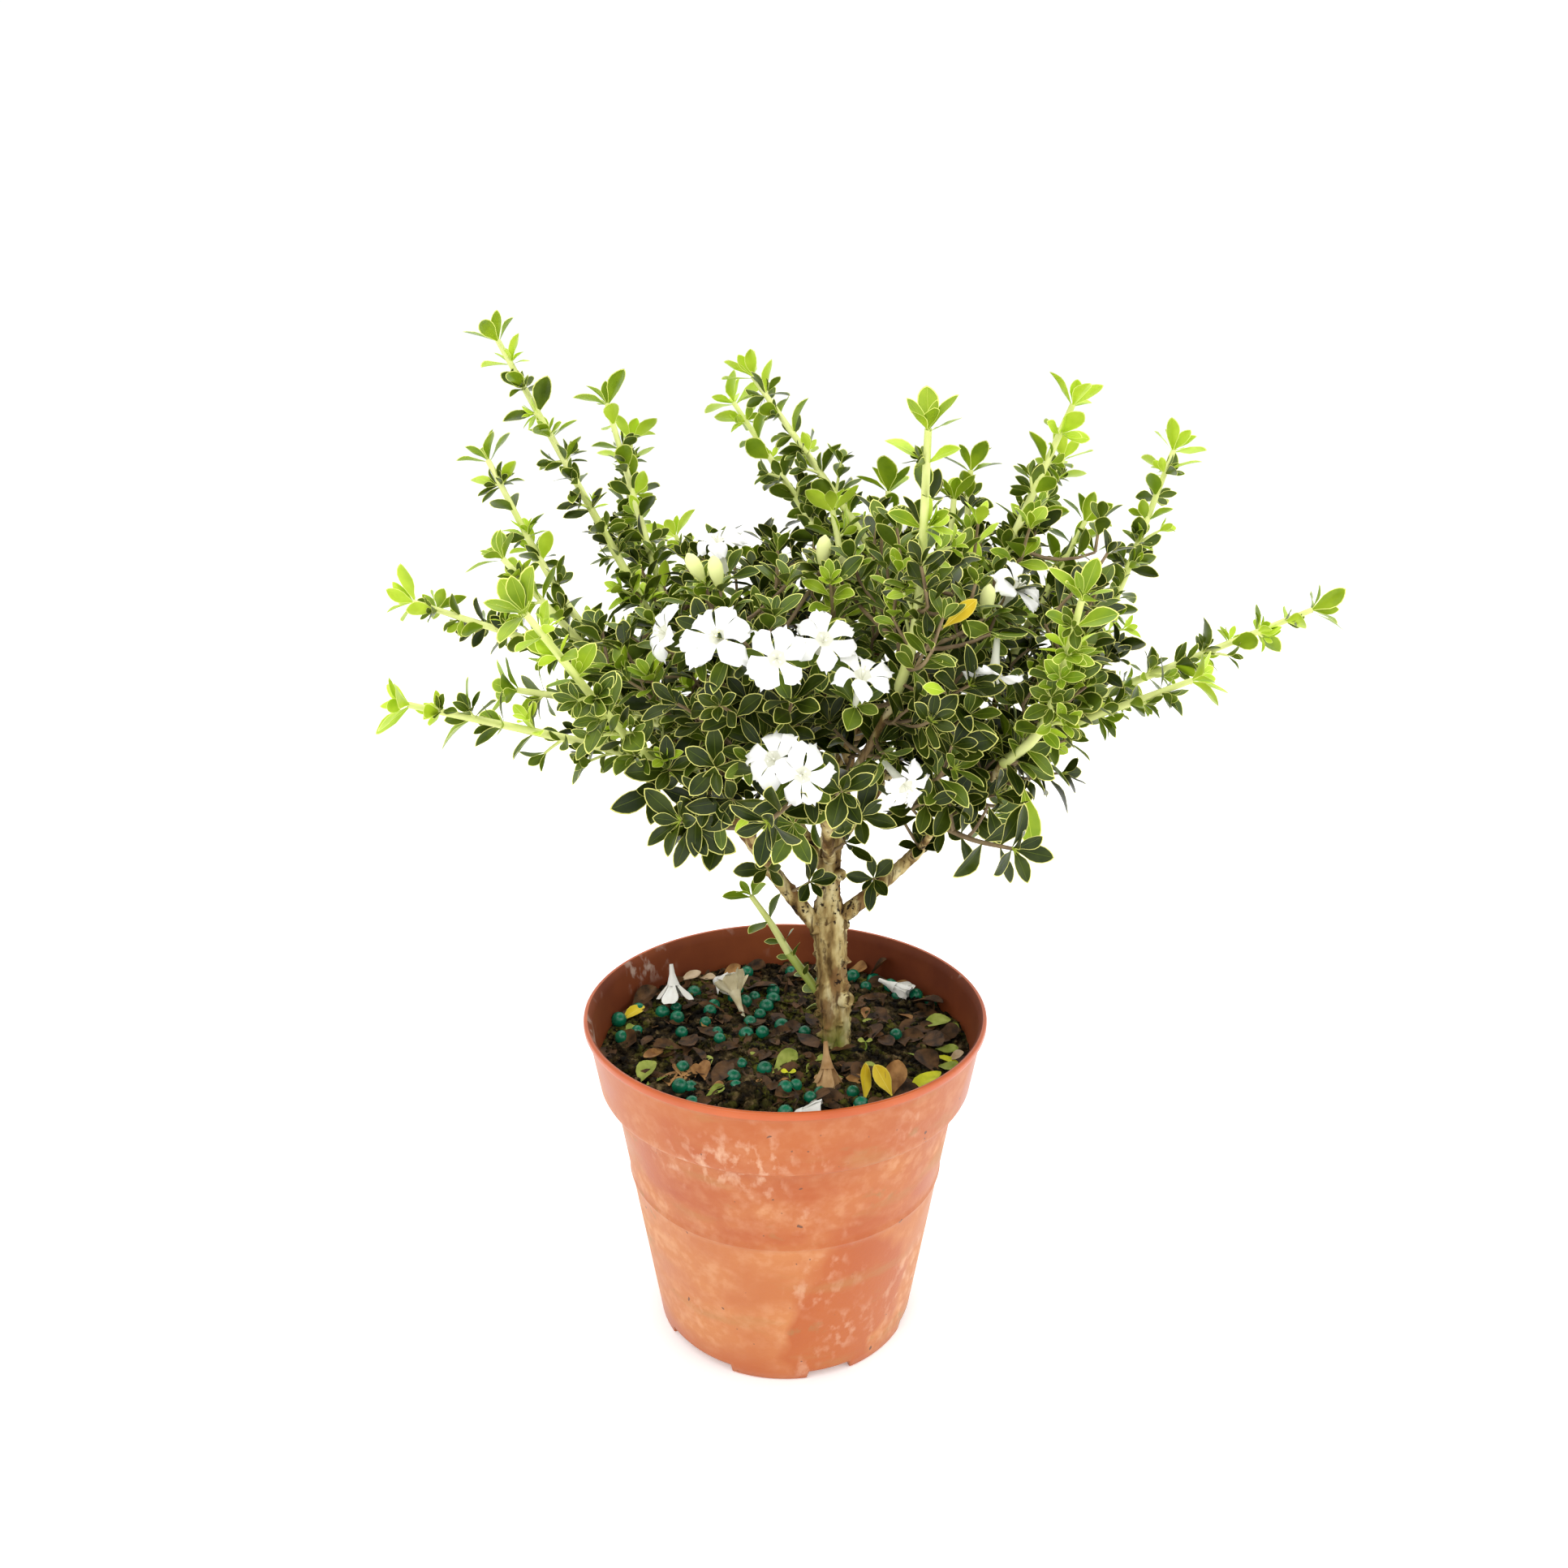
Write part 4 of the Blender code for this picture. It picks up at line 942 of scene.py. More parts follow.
def add_flower(middle, way, size):
    """A white funnel with spreading petals and small anthers in its mouth."""
    over = unit(way + 0.10 * RNG.normal(size=3))
    start = DICE.uniform(0, 2 * math.pi)
    for section in (FUNNEL, MOUTH):
        steps, radii = zip(*section)
        THROATS.extend(tube(steps_along(middle, over, steps), radii, 18)[:1])
    for k in range(PETAL_COUNT):
        add_petal(k, middle, over, start + k * 2 * math.pi / PETAL_COUNT + wobble(0.1), size)
    for k in range(ANTHER_COUNT):
        out = square_to(over, start + k * 2 * math.pi / ANTHER_COUNT)
        line = [middle + out * away + over * rise for away, rise in ANTHER]
        THROATS.extend(tube(np.array(line), (0.16, 0.16, 0.3), 5))
    add_calyx(middle - over * CALYX_BACK, over)


def add_bud(foot, way):
    """A closed pale bud."""
    way = unit(way)
    shares, sizes = np.array(BUD_SECTION).T
    BUD_SKINS.extend(tube(steps_along(foot, way, BUD_LONG * shares), sizes * BUD_R, 14))
    add_calyx(foot, way)


# Materials

# Noises cut to marks: scale, detail, squeeze along the height, where a mark starts and is full, strength.
MARKS = {
    "clean": (15, 4.0, 0.7, 0.605, 0.575, 1.0),
    "cloud": (42, 8.0, 1.6, 0.36, 0.74, 0.55),
    "frost": (300, 10.0, 1.0, 0.44, 0.66, 0.6),
    "stain": (26, 9.0, 3.5, 0.57, 0.68, 0.45),
    "chalk_patch": (24, 5.0, 1.0, 0.55, 0.66, 1.0),
    "chalk": (340, 10.0, 0.7, 0.50, 0.66, 0.42),
    "mud_patch": (38, 6.0, 2.0, 0.62, 0.68, 1.0),
    "mud": (260, 6.0, 1.0, 0.48, 0.60, 0.6),
    "speck": (380, 1.0, 1.0, 0.765, 0.79, 0.9),
    "lime_patch": (34, 3.0, 1.0, 0.50, 0.58, 1.0),
    "lime_streak": (230, 8.0, 0.6, 0.50, 0.60, 0.8),
    "flake": (120, 9.0, 0.5, 0.535, 0.575, 0.75),
    "crack": (620, 6.0, 0.12, 0.56, 0.64, 0.8),
    "pore": (560, 2.0, 1.0, 0.585, 0.64, 0.96),
    "pore_patch": (90, 2.0, 1.0, 0.46, 0.54, 1.0),
    "moss": (160, 5.0, 1.0, 0.35, 0.6, 1.0),
    "algae_patch": (55, 4.0, 1.0, 0.46, 0.58, 1.0),
    "algae": (420, 5.0, 1.0, 0.45, 0.60, 0.85),
}

# Grounds that the marks lie on: the noise's scale, detail and squeeze, then stops of (place, colour).
GROUNDS = {
    "pot": (18, 5.0, 1.0, ((0.35, (0.40, 0.073, 0.003)), (0.50, (0.43, 0.087, 0.005)),
                           (0.65, (0.46, 0.108, 0.010)))),
    # The inside's dark colours are partly soil stains and partly painted shade.
    "inside": (30, 6.0, 1.0, ((0.35, (0.16, 0.030, 0.007)), (0.65, (0.26, 0.060, 0.014)))),
    "bark": (210, 10.0, 0.35, ((0.36, (0.10, 0.054, 0.014)), (0.45, (0.32, 0.21, 0.072)),
                               (0.53, (0.56, 0.43, 0.18)), (0.62, (0.76, 0.65, 0.35)))),
    "soil": (320, 8.0, 1.0, ((0.38, (0.003, 0.002, 0.001)), (0.50, (0.016, 0.010, 0.003)),
                             (0.60, (0.060, 0.040, 0.014)), (0.70, (0.20, 0.140, 0.062)))),
}

# Colours of the marks.
TINTS = {
    "low_pot": (0.60, 0.25, 0.070),
    "cloud": (0.65, 0.29, 0.100),
    "frost": (0.85, 0.54, 0.32),
    "stain": (0.40, 0.19, 0.045),
    "chalk": (0.87, 0.63, 0.44),
    "mud": (0.30, 0.17, 0.045),
    "speck": (0.12, 0.045, 0.02),
    "lime_streak": (0.62, 0.46, 0.38),
    "flake": (0.24, 0.12, 0.042),
    "crack": (0.11, 0.060, 0.024),
    "pore": (0.022, 0.012, 0.007),
    "moss": (0.19, 0.23, 0.030),
    "algae": (0.125, 0.125, 0.014),
}

# Plain skins: two colours, the part of the noise between them and its scale, roughness, relief and its scale.
SKINS = {
    "lip_plastic": ((0.48, 0.085, 0.012), (0.56, 0.115, 0.022), (0.35, 0.65), 60, 0.30, 0.12, 700),
    "feed_pellet": ((0.001, 0.10, 0.048), (0.004, 0.21, 0.105), (0.35, 0.7), 300, 0.26, 0.2, 900),
    "fallen_white": ((0.80, 0.78, 0.70), (0.93, 0.93, 0.89), (0.3, 0.7), 200, 0.55, 0.4, 700),
    "fallen_pale": ((0.56, 0.46, 0.24), (0.84, 0.76, 0.52), (0.3, 0.7), 260, 0.6, 0.5, 700),
    "fallen_dry": ((0.36, 0.19, 0.06), (0.62, 0.40, 0.19), (0.3, 0.7), 260, 0.7, 0.6, 700),
    "shoot_skin": ((0.60, 0.68, 0.16), (0.84, 0.88, 0.36), (0.3, 0.7), 90, 0.5, 0.2, 600),
    "low_shoot_skin": ((0.26, 0.34, 0.045), (0.42, 0.50, 0.10), (0.3, 0.7), 90, 0.5, 0.2, 600),
    "twig_skin": ((0.16, 0.10, 0.05), (0.33, 0.24, 0.12), (0.3, 0.7), 200, 0.7, 0.4, 900),
    "petal_white": ((0.92, 0.92, 0.88), (0.98, 0.98, 0.96), (0.3, 0.7), 200, 0.5, 0.15, 700),
}
LEAF_SKIN = ((0.35, 0.65), 120)
LEAF_RELIEF = (0.06, 900)
LITTER_SKIN = ((0.35, 0.65), 260, 0.55, 0.6, 900)
RELIEF_DEPTH = 0.3


def shader_of(made):
    return made.node_tree.nodes["Principled BSDF"]


def feed(tree, target, **inputs):
    """Gives a node's inputs their values, or links them from other nodes' outputs."""
    for key, value in inputs.items():
        socket = target.inputs[key.replace("_", " ")]
        if isinstance(value, bpy.types.NodeSocket):
            tree.links.new(value, socket)
        else:
            socket.default_value = value


def node(tree, kind, output, **inputs):
    """One output of a new shader node whose inputs are fed."""
    made = tree.nodes.new("ShaderNode" + kind)
    feed(tree, made, **inputs)
    return made.outputs[output]


def plain(name, colour, roughness, **extra):
    """A material of one colour."""
    made = bpy.data.materials.new(name)
    made.use_nodes = True
    feed(made.node_tree, shader_of(made), Base_Color=(*colour, 1.0), Roughness=roughness, **extra)
    return made


def noise_of(tree, scale, detail, squeeze=1.0):
    """A noise pattern in the object's own coordinates, squeezed along the height."""
    where = node(tree, "TexCoord", "Object")
    place = node(tree, "Mapping", "Vector", Vector=where, Scale=(1, 1, squeeze))
    return node(tree, "TexNoise", "Fac", Vector=place, Scale=scale, Detail=detail)


def ramp_of(tree, source, stops):
    """Colours by the strength of a pattern: stops of (place, colour)."""
    ramp = tree.nodes.new("ShaderNodeValToRGB")
    while len(ramp.color_ramp.elements) < len(stops):
        ramp.color_ramp.elements.new(0.5)
    for element, (at, colour) in zip(ramp.color_ramp.elements, stops):
        element.position = at
        element.color = (*colour, 1.0)
    tree.links.new(source, ramp.inputs["Fac"])
    return ramp.outputs["Color"]


def add_relief(made, patterns):
    """Bumps on a material: (pattern, strength, height in mm) rows, one on top of the other."""
    below = {}
    for source, weight, height in patterns:
        sizes = {"Strength": weight, "Distance": height * MM}
        below = {"Normal": node(made.node_tree, "Bump", "Normal", Height=source, **sizes, **below)}
    feed(made.node_tree, shader_of(made), **below)


def patterned(name, low, high, span, scale, roughness, bump, bump_scale, **extra):
    """A material whose colour wanders between two with one noise, roughened by another."""
    made = plain(name, low, roughness, **extra)
    tree = made.node_tree
    paint(made, ramp_of(tree, noise_of(tree, scale, 6.0), ((span[0], low), (span[1], high))))
    add_relief(made, ((noise_of(tree, bump_scale, 5.0), bump, RELIEF_DEPTH),))
    return made


def skin(name):
    return patterned(name, *SKINS[name])


def mixed(tree, factor, first, second):
    """A colour that goes from the socket first to the tint second by factor."""
    mix = tree.nodes.new("ShaderNodeMix")
    mix.data_type = "RGBA"
    tree.links.new(factor, mix.inputs["Factor"])
    tree.links.new(first, mix.inputs["A"])
    mix.inputs["B"].default_value = (*second, 1.0)
    return mix.outputs["Result"]


def strength(tree, source, low, high, top=1.0, bottom=0.0):
    """A pattern cut to go from bottom at low to top at high."""
    spans = {"From_Min": low, "From_Max": high, "To_Min": bottom, "To_Max": top}
    return node(tree, "MapRange", "Result", Value=source, **spans)


def height_band(tree, low, high, top=1.0, bottom=0.0):
    """From bottom at the height low to top at the height high, both in mm above the foot."""
    height = node(tree, "SeparateXYZ", "Z", Vector=node(tree, "TexCoord", "Object"))
    return strength(tree, height, low * MM, high * MM, top, bottom)


def times(tree, first, second):
    """The product of two patterns."""
    product = tree.nodes.new("ShaderNodeMath")
    product.operation = "MULTIPLY"
    tree.links.new(first, product.inputs[0])
    tree.links.new(second, product.inputs[1])
    return product.outputs["Value"]


def mark(tree, name):
    """One of the table's marks, inside its own patches where it has a row for them."""
    scale, detail, squeeze, low, high, top = MARKS[name]
    made = strength(tree, noise_of(tree, scale, detail, squeeze), low, high, top)
    return times(tree, mark(tree, name + "_patch"), made) if name + "_patch" in MARKS else made


def grounded(name, ground, colour, roughness, gloss):
    """A material, its node tree and the colour of its ground, for marks to be laid on."""
    made = plain(name, colour, roughness, Specular_IOR_Level=gloss)
    scale, detail, squeeze, stops = GROUNDS[ground]
    tree = made.node_tree
    return made, tree, ramp_of(tree, noise_of(tree, scale, detail, squeeze), stops)


def paint(made, colour, marks=()):
    """Lays marks, as (factor, tint's name) rows, on a colour, which the material then takes."""
    for factor, tint in marks:
        colour = mixed(made.node_tree, factor, colour, TINTS[tint])
    feed(made.node_tree, shader_of(made), Base_Color=colour)


def pot_material():
    """Orange plastic under a thin bloom of lime, with clean patches, stains, chalky marks and specks."""
    made, tree, colour = grounded("pot_plastic", "pot", (0.56, 0.15, 0.03), 0.5, 0.52)
    clean = times(tree, mark(tree, "clean"), height_band(tree, 4.0, 10.0, bottom=0.35))
    cloud = times(tree, mark(tree, "cloud"), height_band(tree, 83.0, 79.0, bottom=0.5))
    bloom = times(tree, cloud, clean)
    low = times(tree, height_band(tree, 51.6, 50.6, top=0.30), clean)
    frost = times(tree, mark(tree, "frost"), bloom)
    spots = [(mark(tree, name), name) for name in ("stain", "chalk", "mud", "speck")]
    paint(made, colour, ((low, "low_pot"), (bloom, "cloud"), (frost, "frost"), *spots))
    feed(tree, shader_of(made), Roughness=strength(tree, bloom, 0.0, 0.6, 0.66, 0.34))
    add_relief(made, ((noise_of(tree, 900, 4.0), 1.0, 0.04), (cloud, 1.0, 0.03)))
    return made


def inside_stain_and_shade_material():
    """The same plastic painted dark, partly as soil stains and partly as painted shade of the pot's dim
    inside, with pale lime scratches near the rim.
    """
    made, tree, colour = grounded("pot_inside", "inside", (0.24, 0.06, 0.02), 0.6, 0.25)
    scratches = times(tree, times(tree, mark(tree, "lime_patch"), mark(tree, "lime_streak")),
                      height_band(tree, 91.0, 96.0))
    paint(made, colour, ((scratches, "lime_streak"),))
    return made


def bark_material():
    """Pale tan bark with long cracks, brown flakes, dark pores and a green foot."""
    made, tree, colour = grounded("bark", "bark", (0.40, 0.30, 0.18), 0.8, 0.2)
    crack, pore = mark(tree, "crack"), mark(tree, "pore")
    moss = times(tree, mark(tree, "moss"), height_band(tree, 101.0, 90.0))
    paint(made, colour, ((mark(tree, "flake"), "flake"), (crack, "crack"), (pore, "pore"), (moss, "moss")))
    add_relief(made, ((noise_of(tree, 420, 6.0, 0.25), 1.0, 0.5), (crack, 1.0, -0.25), (pore, 1.0, -0.2)))
    return made


def soil_material():
    """Dark damp soil with brown crumbs and green algae in patches."""
    made, tree, colour = grounded("soil_dark", "soil", (0.02, 0.014, 0.008), 0.75, 0.12)
    paint(made, colour, ((mark(tree, "algae"), "algae"),))
    add_relief(made, ((noise_of(tree, 700, 8.0), 1.0, 0.9), (noise_of(tree, 2200, 4.0), 1.0, 0.3)))
    return made


# Pot

def body_radius(z):
    return FOOT_R + (BODY_TOP_R - FOOT_R) * z / COLLAR_Z


def collar_radius(z):
    return COLLAR_R + (RIM_R - 0.7 - COLLAR_R) * (z - COLLAR_Z) / (RIM_Z - COLLAR_Z)


def pot_outside():
    """The pot's outside from the rim down to the foot, in fine steps, as (radius, height)."""
    rows = [(RIM_R - inward, RIM_Z - down) for inward, down in LIP]
    rows += [(collar_radius(RIM_Z - 2.6), RIM_Z - 2.6)]
    rows += [(collar_radius(z), z) for z in np.linspace(RIM_Z - 4, COLLAR_Z + 1.6, 14)]
    rows += [(COLLAR_R - inward, COLLAR_Z + up) for inward, up in ((0.05, 0.9), (0.35, 0.35), (0.9, 0))]
    rows += [(BODY_TOP_R + outward, COLLAR_Z - down) for outward, down in ((0.9, 0.5), (0.15, 1.2))]
    rows += [(body_radius(z), z) for z in np.linspace(COLLAR_Z - 2.6, LEDGE_Z + 0.8, 18)]
    rows += [(body_radius(LEDGE_Z) + outward, LEDGE_Z + up) for outward, up in LEDGE]
    rows += [(body_radius(z), z) for z in np.linspace(LEDGE_Z - 2, 3.2, 26)]
    rows += [(body_radius(2.7), 2.7), (FOOT_R + 0.1, 0.35), (FOOT_R - 0.3, 0.0)]
    return rows


def pot_underside():
    ring = FOOT_R - FOOT_RING
    rows = [(ring + 0.3, 0.0), (ring, 0.4), (ring - 0.1, 2.7), (ring - 0.3, PLATE_LOW)]
    return rows + [(PAD_R + 0.7, PLATE_LOW), (PAD_R, 0.3), (PAD_R - 0.4, 0.0), (0.01, 0.0)]


def pot_inside():
    rows = [(0.01, PLATE_TOP), (body_radius(PLATE_TOP) - WALL, PLATE_TOP)]
    rows += [(body_radius(COLLAR_Z) - WALL, COLLAR_Z - 1)]
    rows += [(collar_radius(z) - WALL, z) for z in np.linspace(COLLAR_Z + 2, RIM_Z - 1.6, 12)]
    return rows + [(RIM_R - 1.7, RIM_Z - 0.8), (RIM_R - 1.45, RIM_Z - 0.35)]


def in_notch(turn):
    """Whether an angle in degrees lies in one of the foot's drainage notches."""
    for centre, width in NOTCHES:
        for k in range(NOTCH_REPEAT):
            away = (turn - centre - k * 360 / NOTCH_REPEAT + 180) % 360 - 180
            if abs(away) < width / 2:
                return True
    return False


def build_pot():
    """The turned shell, its foot lifted where the notches are, slightly out of true like a thin pot."""
    outside = pot_outside()
    pieces = (("pot_lining", pot_inside() + outside[:1], inside_stain_and_shade_material(), ()),
              ("pot_lip", outside[:len(LIP)], skin("lip_plastic"), ()),
              ("pot_shell", outside[len(LIP) - 1:] + pot_underside(), pot_material(), ("pot",)))
    turns = ring_turns(POT_STEPS)
    notched = np.array([in_notch(math.degrees(t)) for t in turns])
    for name, profile, finish, stood_for in pieces:
        points = np.zeros((len(profile), POT_STEPS, 3))
        for i, (radius, z) in enumerate(profile):
            wave = 1 + 0.0015 * np.sin(2 * turns + 0.7) * (z / RIM_Z)
            points[i, :, 0] = radius * wave * np.cos(turns)
            points[i, :, 1] = radius * wave * np.sin(turns)
            low = z < NOTCH_HEIGHT and radius > PAD_R + 2
            points[i, :, 2] = np.where(notched & low, NOTCH_HEIGHT, z)
        flat, faces = sheet(points, wrap=True)
        show(name, [(flat, faces[:, ::-1])], finish, "pot", *stood_for)


# Soil and litter

def from_trunk(x, y):
    return math.hypot(x - TRUNK_LINE[0][0], y - TRUNK_LINE[0][1])


def around(x, y, out, turn):
    """The point at a distance out from x and y, in the direction of turn."""
    return x + out * math.cos(turn), y + out * math.sin(turn)


def soil_height(x, y):
    away = from_trunk(x, y)
    fade = min(1.0, max(0.15, (away - 6) / 10))
    waves = sum(noise.noise(Vector((x * scale, y * scale, at))) * height for scale, at, height in SOIL_WAVES)
    return SOIL_Z + SOIL_LIFT + waves * fade + max(0.0, MOUND - away * MOUND_FALL)


def build_soil():
    """The soil's lumpy top, and a skirt down the pot's inside."""
    rings = np.concatenate([np.linspace(0.2, SOIL_R, 76), [SOIL_R, SOIL_R - 1.6]])
    turns = ring_turns(260)
    points = np.zeros((len(rings), len(turns), 3))
    for i, r in enumerate(rings):
        for k, t in enumerate(turns):
            points[i, k] = on_soil(*around(0, 0, r, t))
    points[-2, :, 2] = SOIL_Z - 3
    points[-1, :, 2] = SOIL_Z - 8
    show("soil_top", [sheet(points, wrap=True)], DARK, "soil", "soil")


def ball_template(levels):
    """The points and triangles of a round ball of radius 1."""
    work = bmesh.new()
    bmesh.ops.create_icosphere(work, subdivisions=levels, radius=1.0)
    points = np.array([v.co for v in work.verts])
    faces = np.array([[v.index for v in f.verts] for f in work.faces])
    work.free()
    return points, faces


BALL = ball_template(3)
LUMP = ball_template(2)


def lump(at, size, squash=1.0, rough=0.25):
    """One crumb: the rough ball with its points pushed in and out."""
    points = LUMP[0] * (1 + rough * RNG.normal(size=(len(LUMP[0]), 1)))
    points = points * np.array((1, DICE.uniform(0.7, 1), squash)) * size
    turn = DICE.uniform(0, 2 * math.pi)
    spin = np.array(((math.cos(turn), -math.sin(turn), 0), (math.sin(turn), math.cos(turn), 0), (0, 0, 1)))
    return points @ spin.T + np.asarray(at), LUMP[1]


def on_soil(x, y, lift=0.0):
    return np.array((x, y, soil_height(x, y) + lift))


def soil_places(count, clear):
    """Seeded places on the soil, away from the trunk."""
    places = []
    while len(places) < count:
        out, turn = (SOIL_R - 1.5) * math.sqrt(DICE.random()), DICE.uniform(0, 2 * math.pi)
        x, y = around(0, 0, out, turn)
        if from_trunk(x, y) > clear:
            places.append((x, y))
    return places


# Fallen leaves: kind, foot and tip on the soil, width, lift of the tip above the soil, all in mm.
FALLEN = (
    ("olive", (-42, -25), (-39, -13), 6.6, 1.5), ("olive", (-40, -26), (-35, -16), 5.8, 2.0),
    ("olive", (-4, -18), (4, -8), 5.4, 3.0), ("yellow", (22, -34), (22, -26), 5.6, 8.0),
    ("yellow", (30, -32), (25, -27), 4.6, 7.5), ("tan", (30, -31), (32, -25), 7.2, 9.0),
    ("lemon", (33, -30), (45, -21), 5.0, 3.5), ("olive", (41, 10), (52, 11), 5.6, 3.0),
    ("olive", (47, 31), (53, 35), 5.0, 1.5), ("umber", (-15, 33), (-2, 33), 7.6, 3.5),
    ("umber", (28, 44), (40, 48), 7.4, 8.0), ("umber", (-21, -27), (-16, -13), 6.2, 3.0),
    ("tan", (-26, -20), (-26, -16), 3.2, 3.0), ("tan", (-23, -22), (-24, -15), 4.2, 4.0),
    ("tan", (-22, -27), (-17, -27), 3.4, 1.5), ("tan", (-22, 45), (-15, 49), 5.0, 2.5),
    ("cream", (-36, 40), (-28, 43), 4.6, 2.5), ("cream", (-29, 43), (-23, 42), 3.8, 2.0),
    ("yellow", (-52, 14), (-45, 20), 3.8, 2.5), ("umber", (8, -24), (17, -36), 4.6, 1.0),
    ("umber", (42, 8), (47, -6), 6.0, 3.5), ("umber", (47, 6), (54, 4), 5.6, 2.5),
    ("umber", (-53, 4), (-44, -3), 6.8, 2.0), ("tan", (36, 40), (41, 35), 4.6, 2.5),
    ("tan", (36, 19), (40, 14), 4.8, 1.5), ("tan", (22, 50), (29, 48), 5.0, 3.5),
    ("umber", (3, 5), (10, -6), 5.8, 1.5), ("olive", (8, -10), (12, -12), 3.2, 2.5),
    ("umber", (-32, 4), (-27, -6), 6.6, 3.0), ("umber", (-30, -4), (-40, -6), 6.0, 2.0),
    ("olive", (44, -14), (52, -18), 3.6, 3.0), ("umber", (-10, -22), (-18, -27), 3.8, 1.0),
    ("tan", (-34, -22), (-27, -22), 2.8, 0.6), ("umber", (25, 12), (30, 18), 3.4, 2.0),
    ("umber", (-2, 44), (9, 47), 6.4, 2.5), ("tan", (-8, -44), (1, -46), 4.6, 1.5),
    ("umber", (-40, -36), (-30, -40), 5.2, 2.0), ("olive", (24, -42), (33, -44), 5.0, 1.5),
    ("lemon", (43, -8), (51, -13), 3.0, 2.5), ("olive", (45, -3), (52, -8), 3.4, 4.0),
    ("cream", (48, -10), (54, -12), 3.6, 3.5), ("tan", (14, 42), (20, 50), 5.4, 6.0),
    ("umber", (40, 26), (52, 20), 6.4, 5.0), ("umber", (-50, 20), (-42, 30), 6.0, 4.0),
)

# Places of the green feed pellets seen on the soil, in mm.
PELLETS = (
    (-30, -15), (-30, -26), (-27, -25), (-6, -15), (-13, -13), (-15, -20), (-14, -26), (0, -27), (3, -25),
    (10, -27), (19, -30), (21, -35), (0, -38), (-26, -33), (7, -31), (-21, 7), (-20, 1), (-12, 6), (-7, 5),
    (-32, 6), (-53, 14), (-47, 21), (-39, 18), (-35, 22), (-34, 14), (-24, 19), (-23, 24), (-25, 12),
    (-16, 34), (-17, 29), (-10, 28), (-6, 23), (-4, 28), (-8, 18), (-11, 13), (-1, 11), (6, 6), (2, 48),
    (-13, 46), (30, 43), (27, 38), (23, 45), (35, 36), (37, 31), (43, 31), (47, 27), (-30, 32), (-13, 25),
    (-4, 33), (-46, 8), (-50, 2), (34, 4), (12, 42), (-22, -40), (36, -36), (-20, -46), (12, -50),
)


def on_ground(x, y, lift=0.0):
    """A place on the soil, drawn in to lie inside the pot."""
    r = math.hypot(x, y)
    shrink = min(1.0, (SOIL_R - 2.0) / max(r, 1.0))
    return on_soil(x * shrink, y * shrink, lift)


def fallen_leaf(kind, foot, tip, width, rise):
    start = on_ground(*foot, 0.6)
    end = on_ground(*tip, rise)
    run = np.linalg.norm(end - start)
    tilt = np.array((DICE.uniform(-0.4, 0.4), DICE.uniform(-0.6, 0.1), 1.0))
    add_leaf(kind, start, unit(end - start), tilt, run, width / run, DICE.uniform(-0.12, 0.16), 0.3)


# Flowers lying on the soil: kind, the funnel's mouth, its axis towards the petals, the tube's length, spread.
DROPPED = (
    ("white", (-36, 24, 97.0), (0.10, -0.35, -0.90), 6.0, 0.62),
    ("pale", (-16, 24, 93.0), (-0.25, 0.55, 0.45), 8.5, 0.60),
    ("white", (-22, 34, 92.5), (0.5, -0.4, 0.1), 2.0, 0.5),
    ("dry", (12, -20, 92.5), (0.05, -0.45, -0.8), 7.0, 0.45),
    ("white", (36, 33, 91.0), (0.8, -0.6, -0.15), 6.0, 0.25),
    ("white", (4, -43, 91.0), (0.9, -0.1, 0.1), 3.0, 0.40),
)
WILTED = {"white": [], "pale": [], "dry": []}


def dropped_flower(kind, mouth, axis, run, spread):
    """A wilted funnel: its tube, and petals folded forward along its axis."""
    axis, mouth = unit(axis), np.array(mouth, float)
    stem = np.array([mouth - axis * run, mouth - axis * run * 0.5, mouth - axis, mouth + axis * 0.8])
    WILTED[kind].extend(tube(stem, (0.6, 0.9, 1.5, 2.1), 14)[:1])
    start = DICE.uniform(0, 6.28)
    for k in range(PETAL_COUNT):
        out = square_to(axis, start + k * 2 * math.pi / PETAL_COUNT + wobble(0.2))
        side = np.cross(axis, out)
        reach = DICE.uniform(5.0, 7.5)
        lean = spread * DICE.uniform(0.5, 1.3)

        def place(r, c, wide):
            fall = 1.5 + reach * r * lean + 0.5 * math.sin(c * 4 + k)
            at = mouth + axis * (0.6 + reach * r * (1 - 0.4 * lean)) + out * fall + side * (wide * 0.95) * c
            at[2] = max(at[2], soil_height(at[0], at[1]) + 0.3 + 0.2 * r)
            return at

        WILTED[kind].append(petal_sheet(np.linspace(0, 1, 8), np.linspace(-1, 1, 7), place))


def scattered_crumbs():
    """Loose crumbs all over the soil, and the heap of them in front."""
    crumbs = []
    for x, y in soil_places(CRUMBS, CRUMBS_CLEAR):
        crumbs.append(lump(on_soil(x, y, 0.1), DICE.uniform(0.3, 1.5) ** 1.2, 0.75))
    for _ in range(HEAP_CRUMBS):
        turn, out = DICE.uniform(0, 2 * math.pi), DICE.uniform(0, HEAP_R)
        x, y = around(*HEAP_AT, out, turn)
        crumbs.append(lump(on_soil(x, y, 3.2 - 0.4 * out), DICE.uniform(0.6, 1.9), 0.9, 0.3))
    return crumbs


def drop_leaves():
    """The fallen leaves that show in the table, and many small dead ones."""
    for row in FALLEN:
        fallen_leaf(*row)
    for x, y in soil_places(DEAD_LEAVES, DEAD_CLEAR):
        turn, run = DICE.uniform(0, 2 * math.pi), DICE.uniform(2.5, 11.0)
        kind = DICE.choices(list(DEAD_KINDS), list(DEAD_KINDS.values()))[0]
        width = run * DICE.uniform(0.3, 0.7)
        fallen_leaf(kind, (x, y), around(x, y, run, turn), width, DICE.uniform(0.2, 1.8))


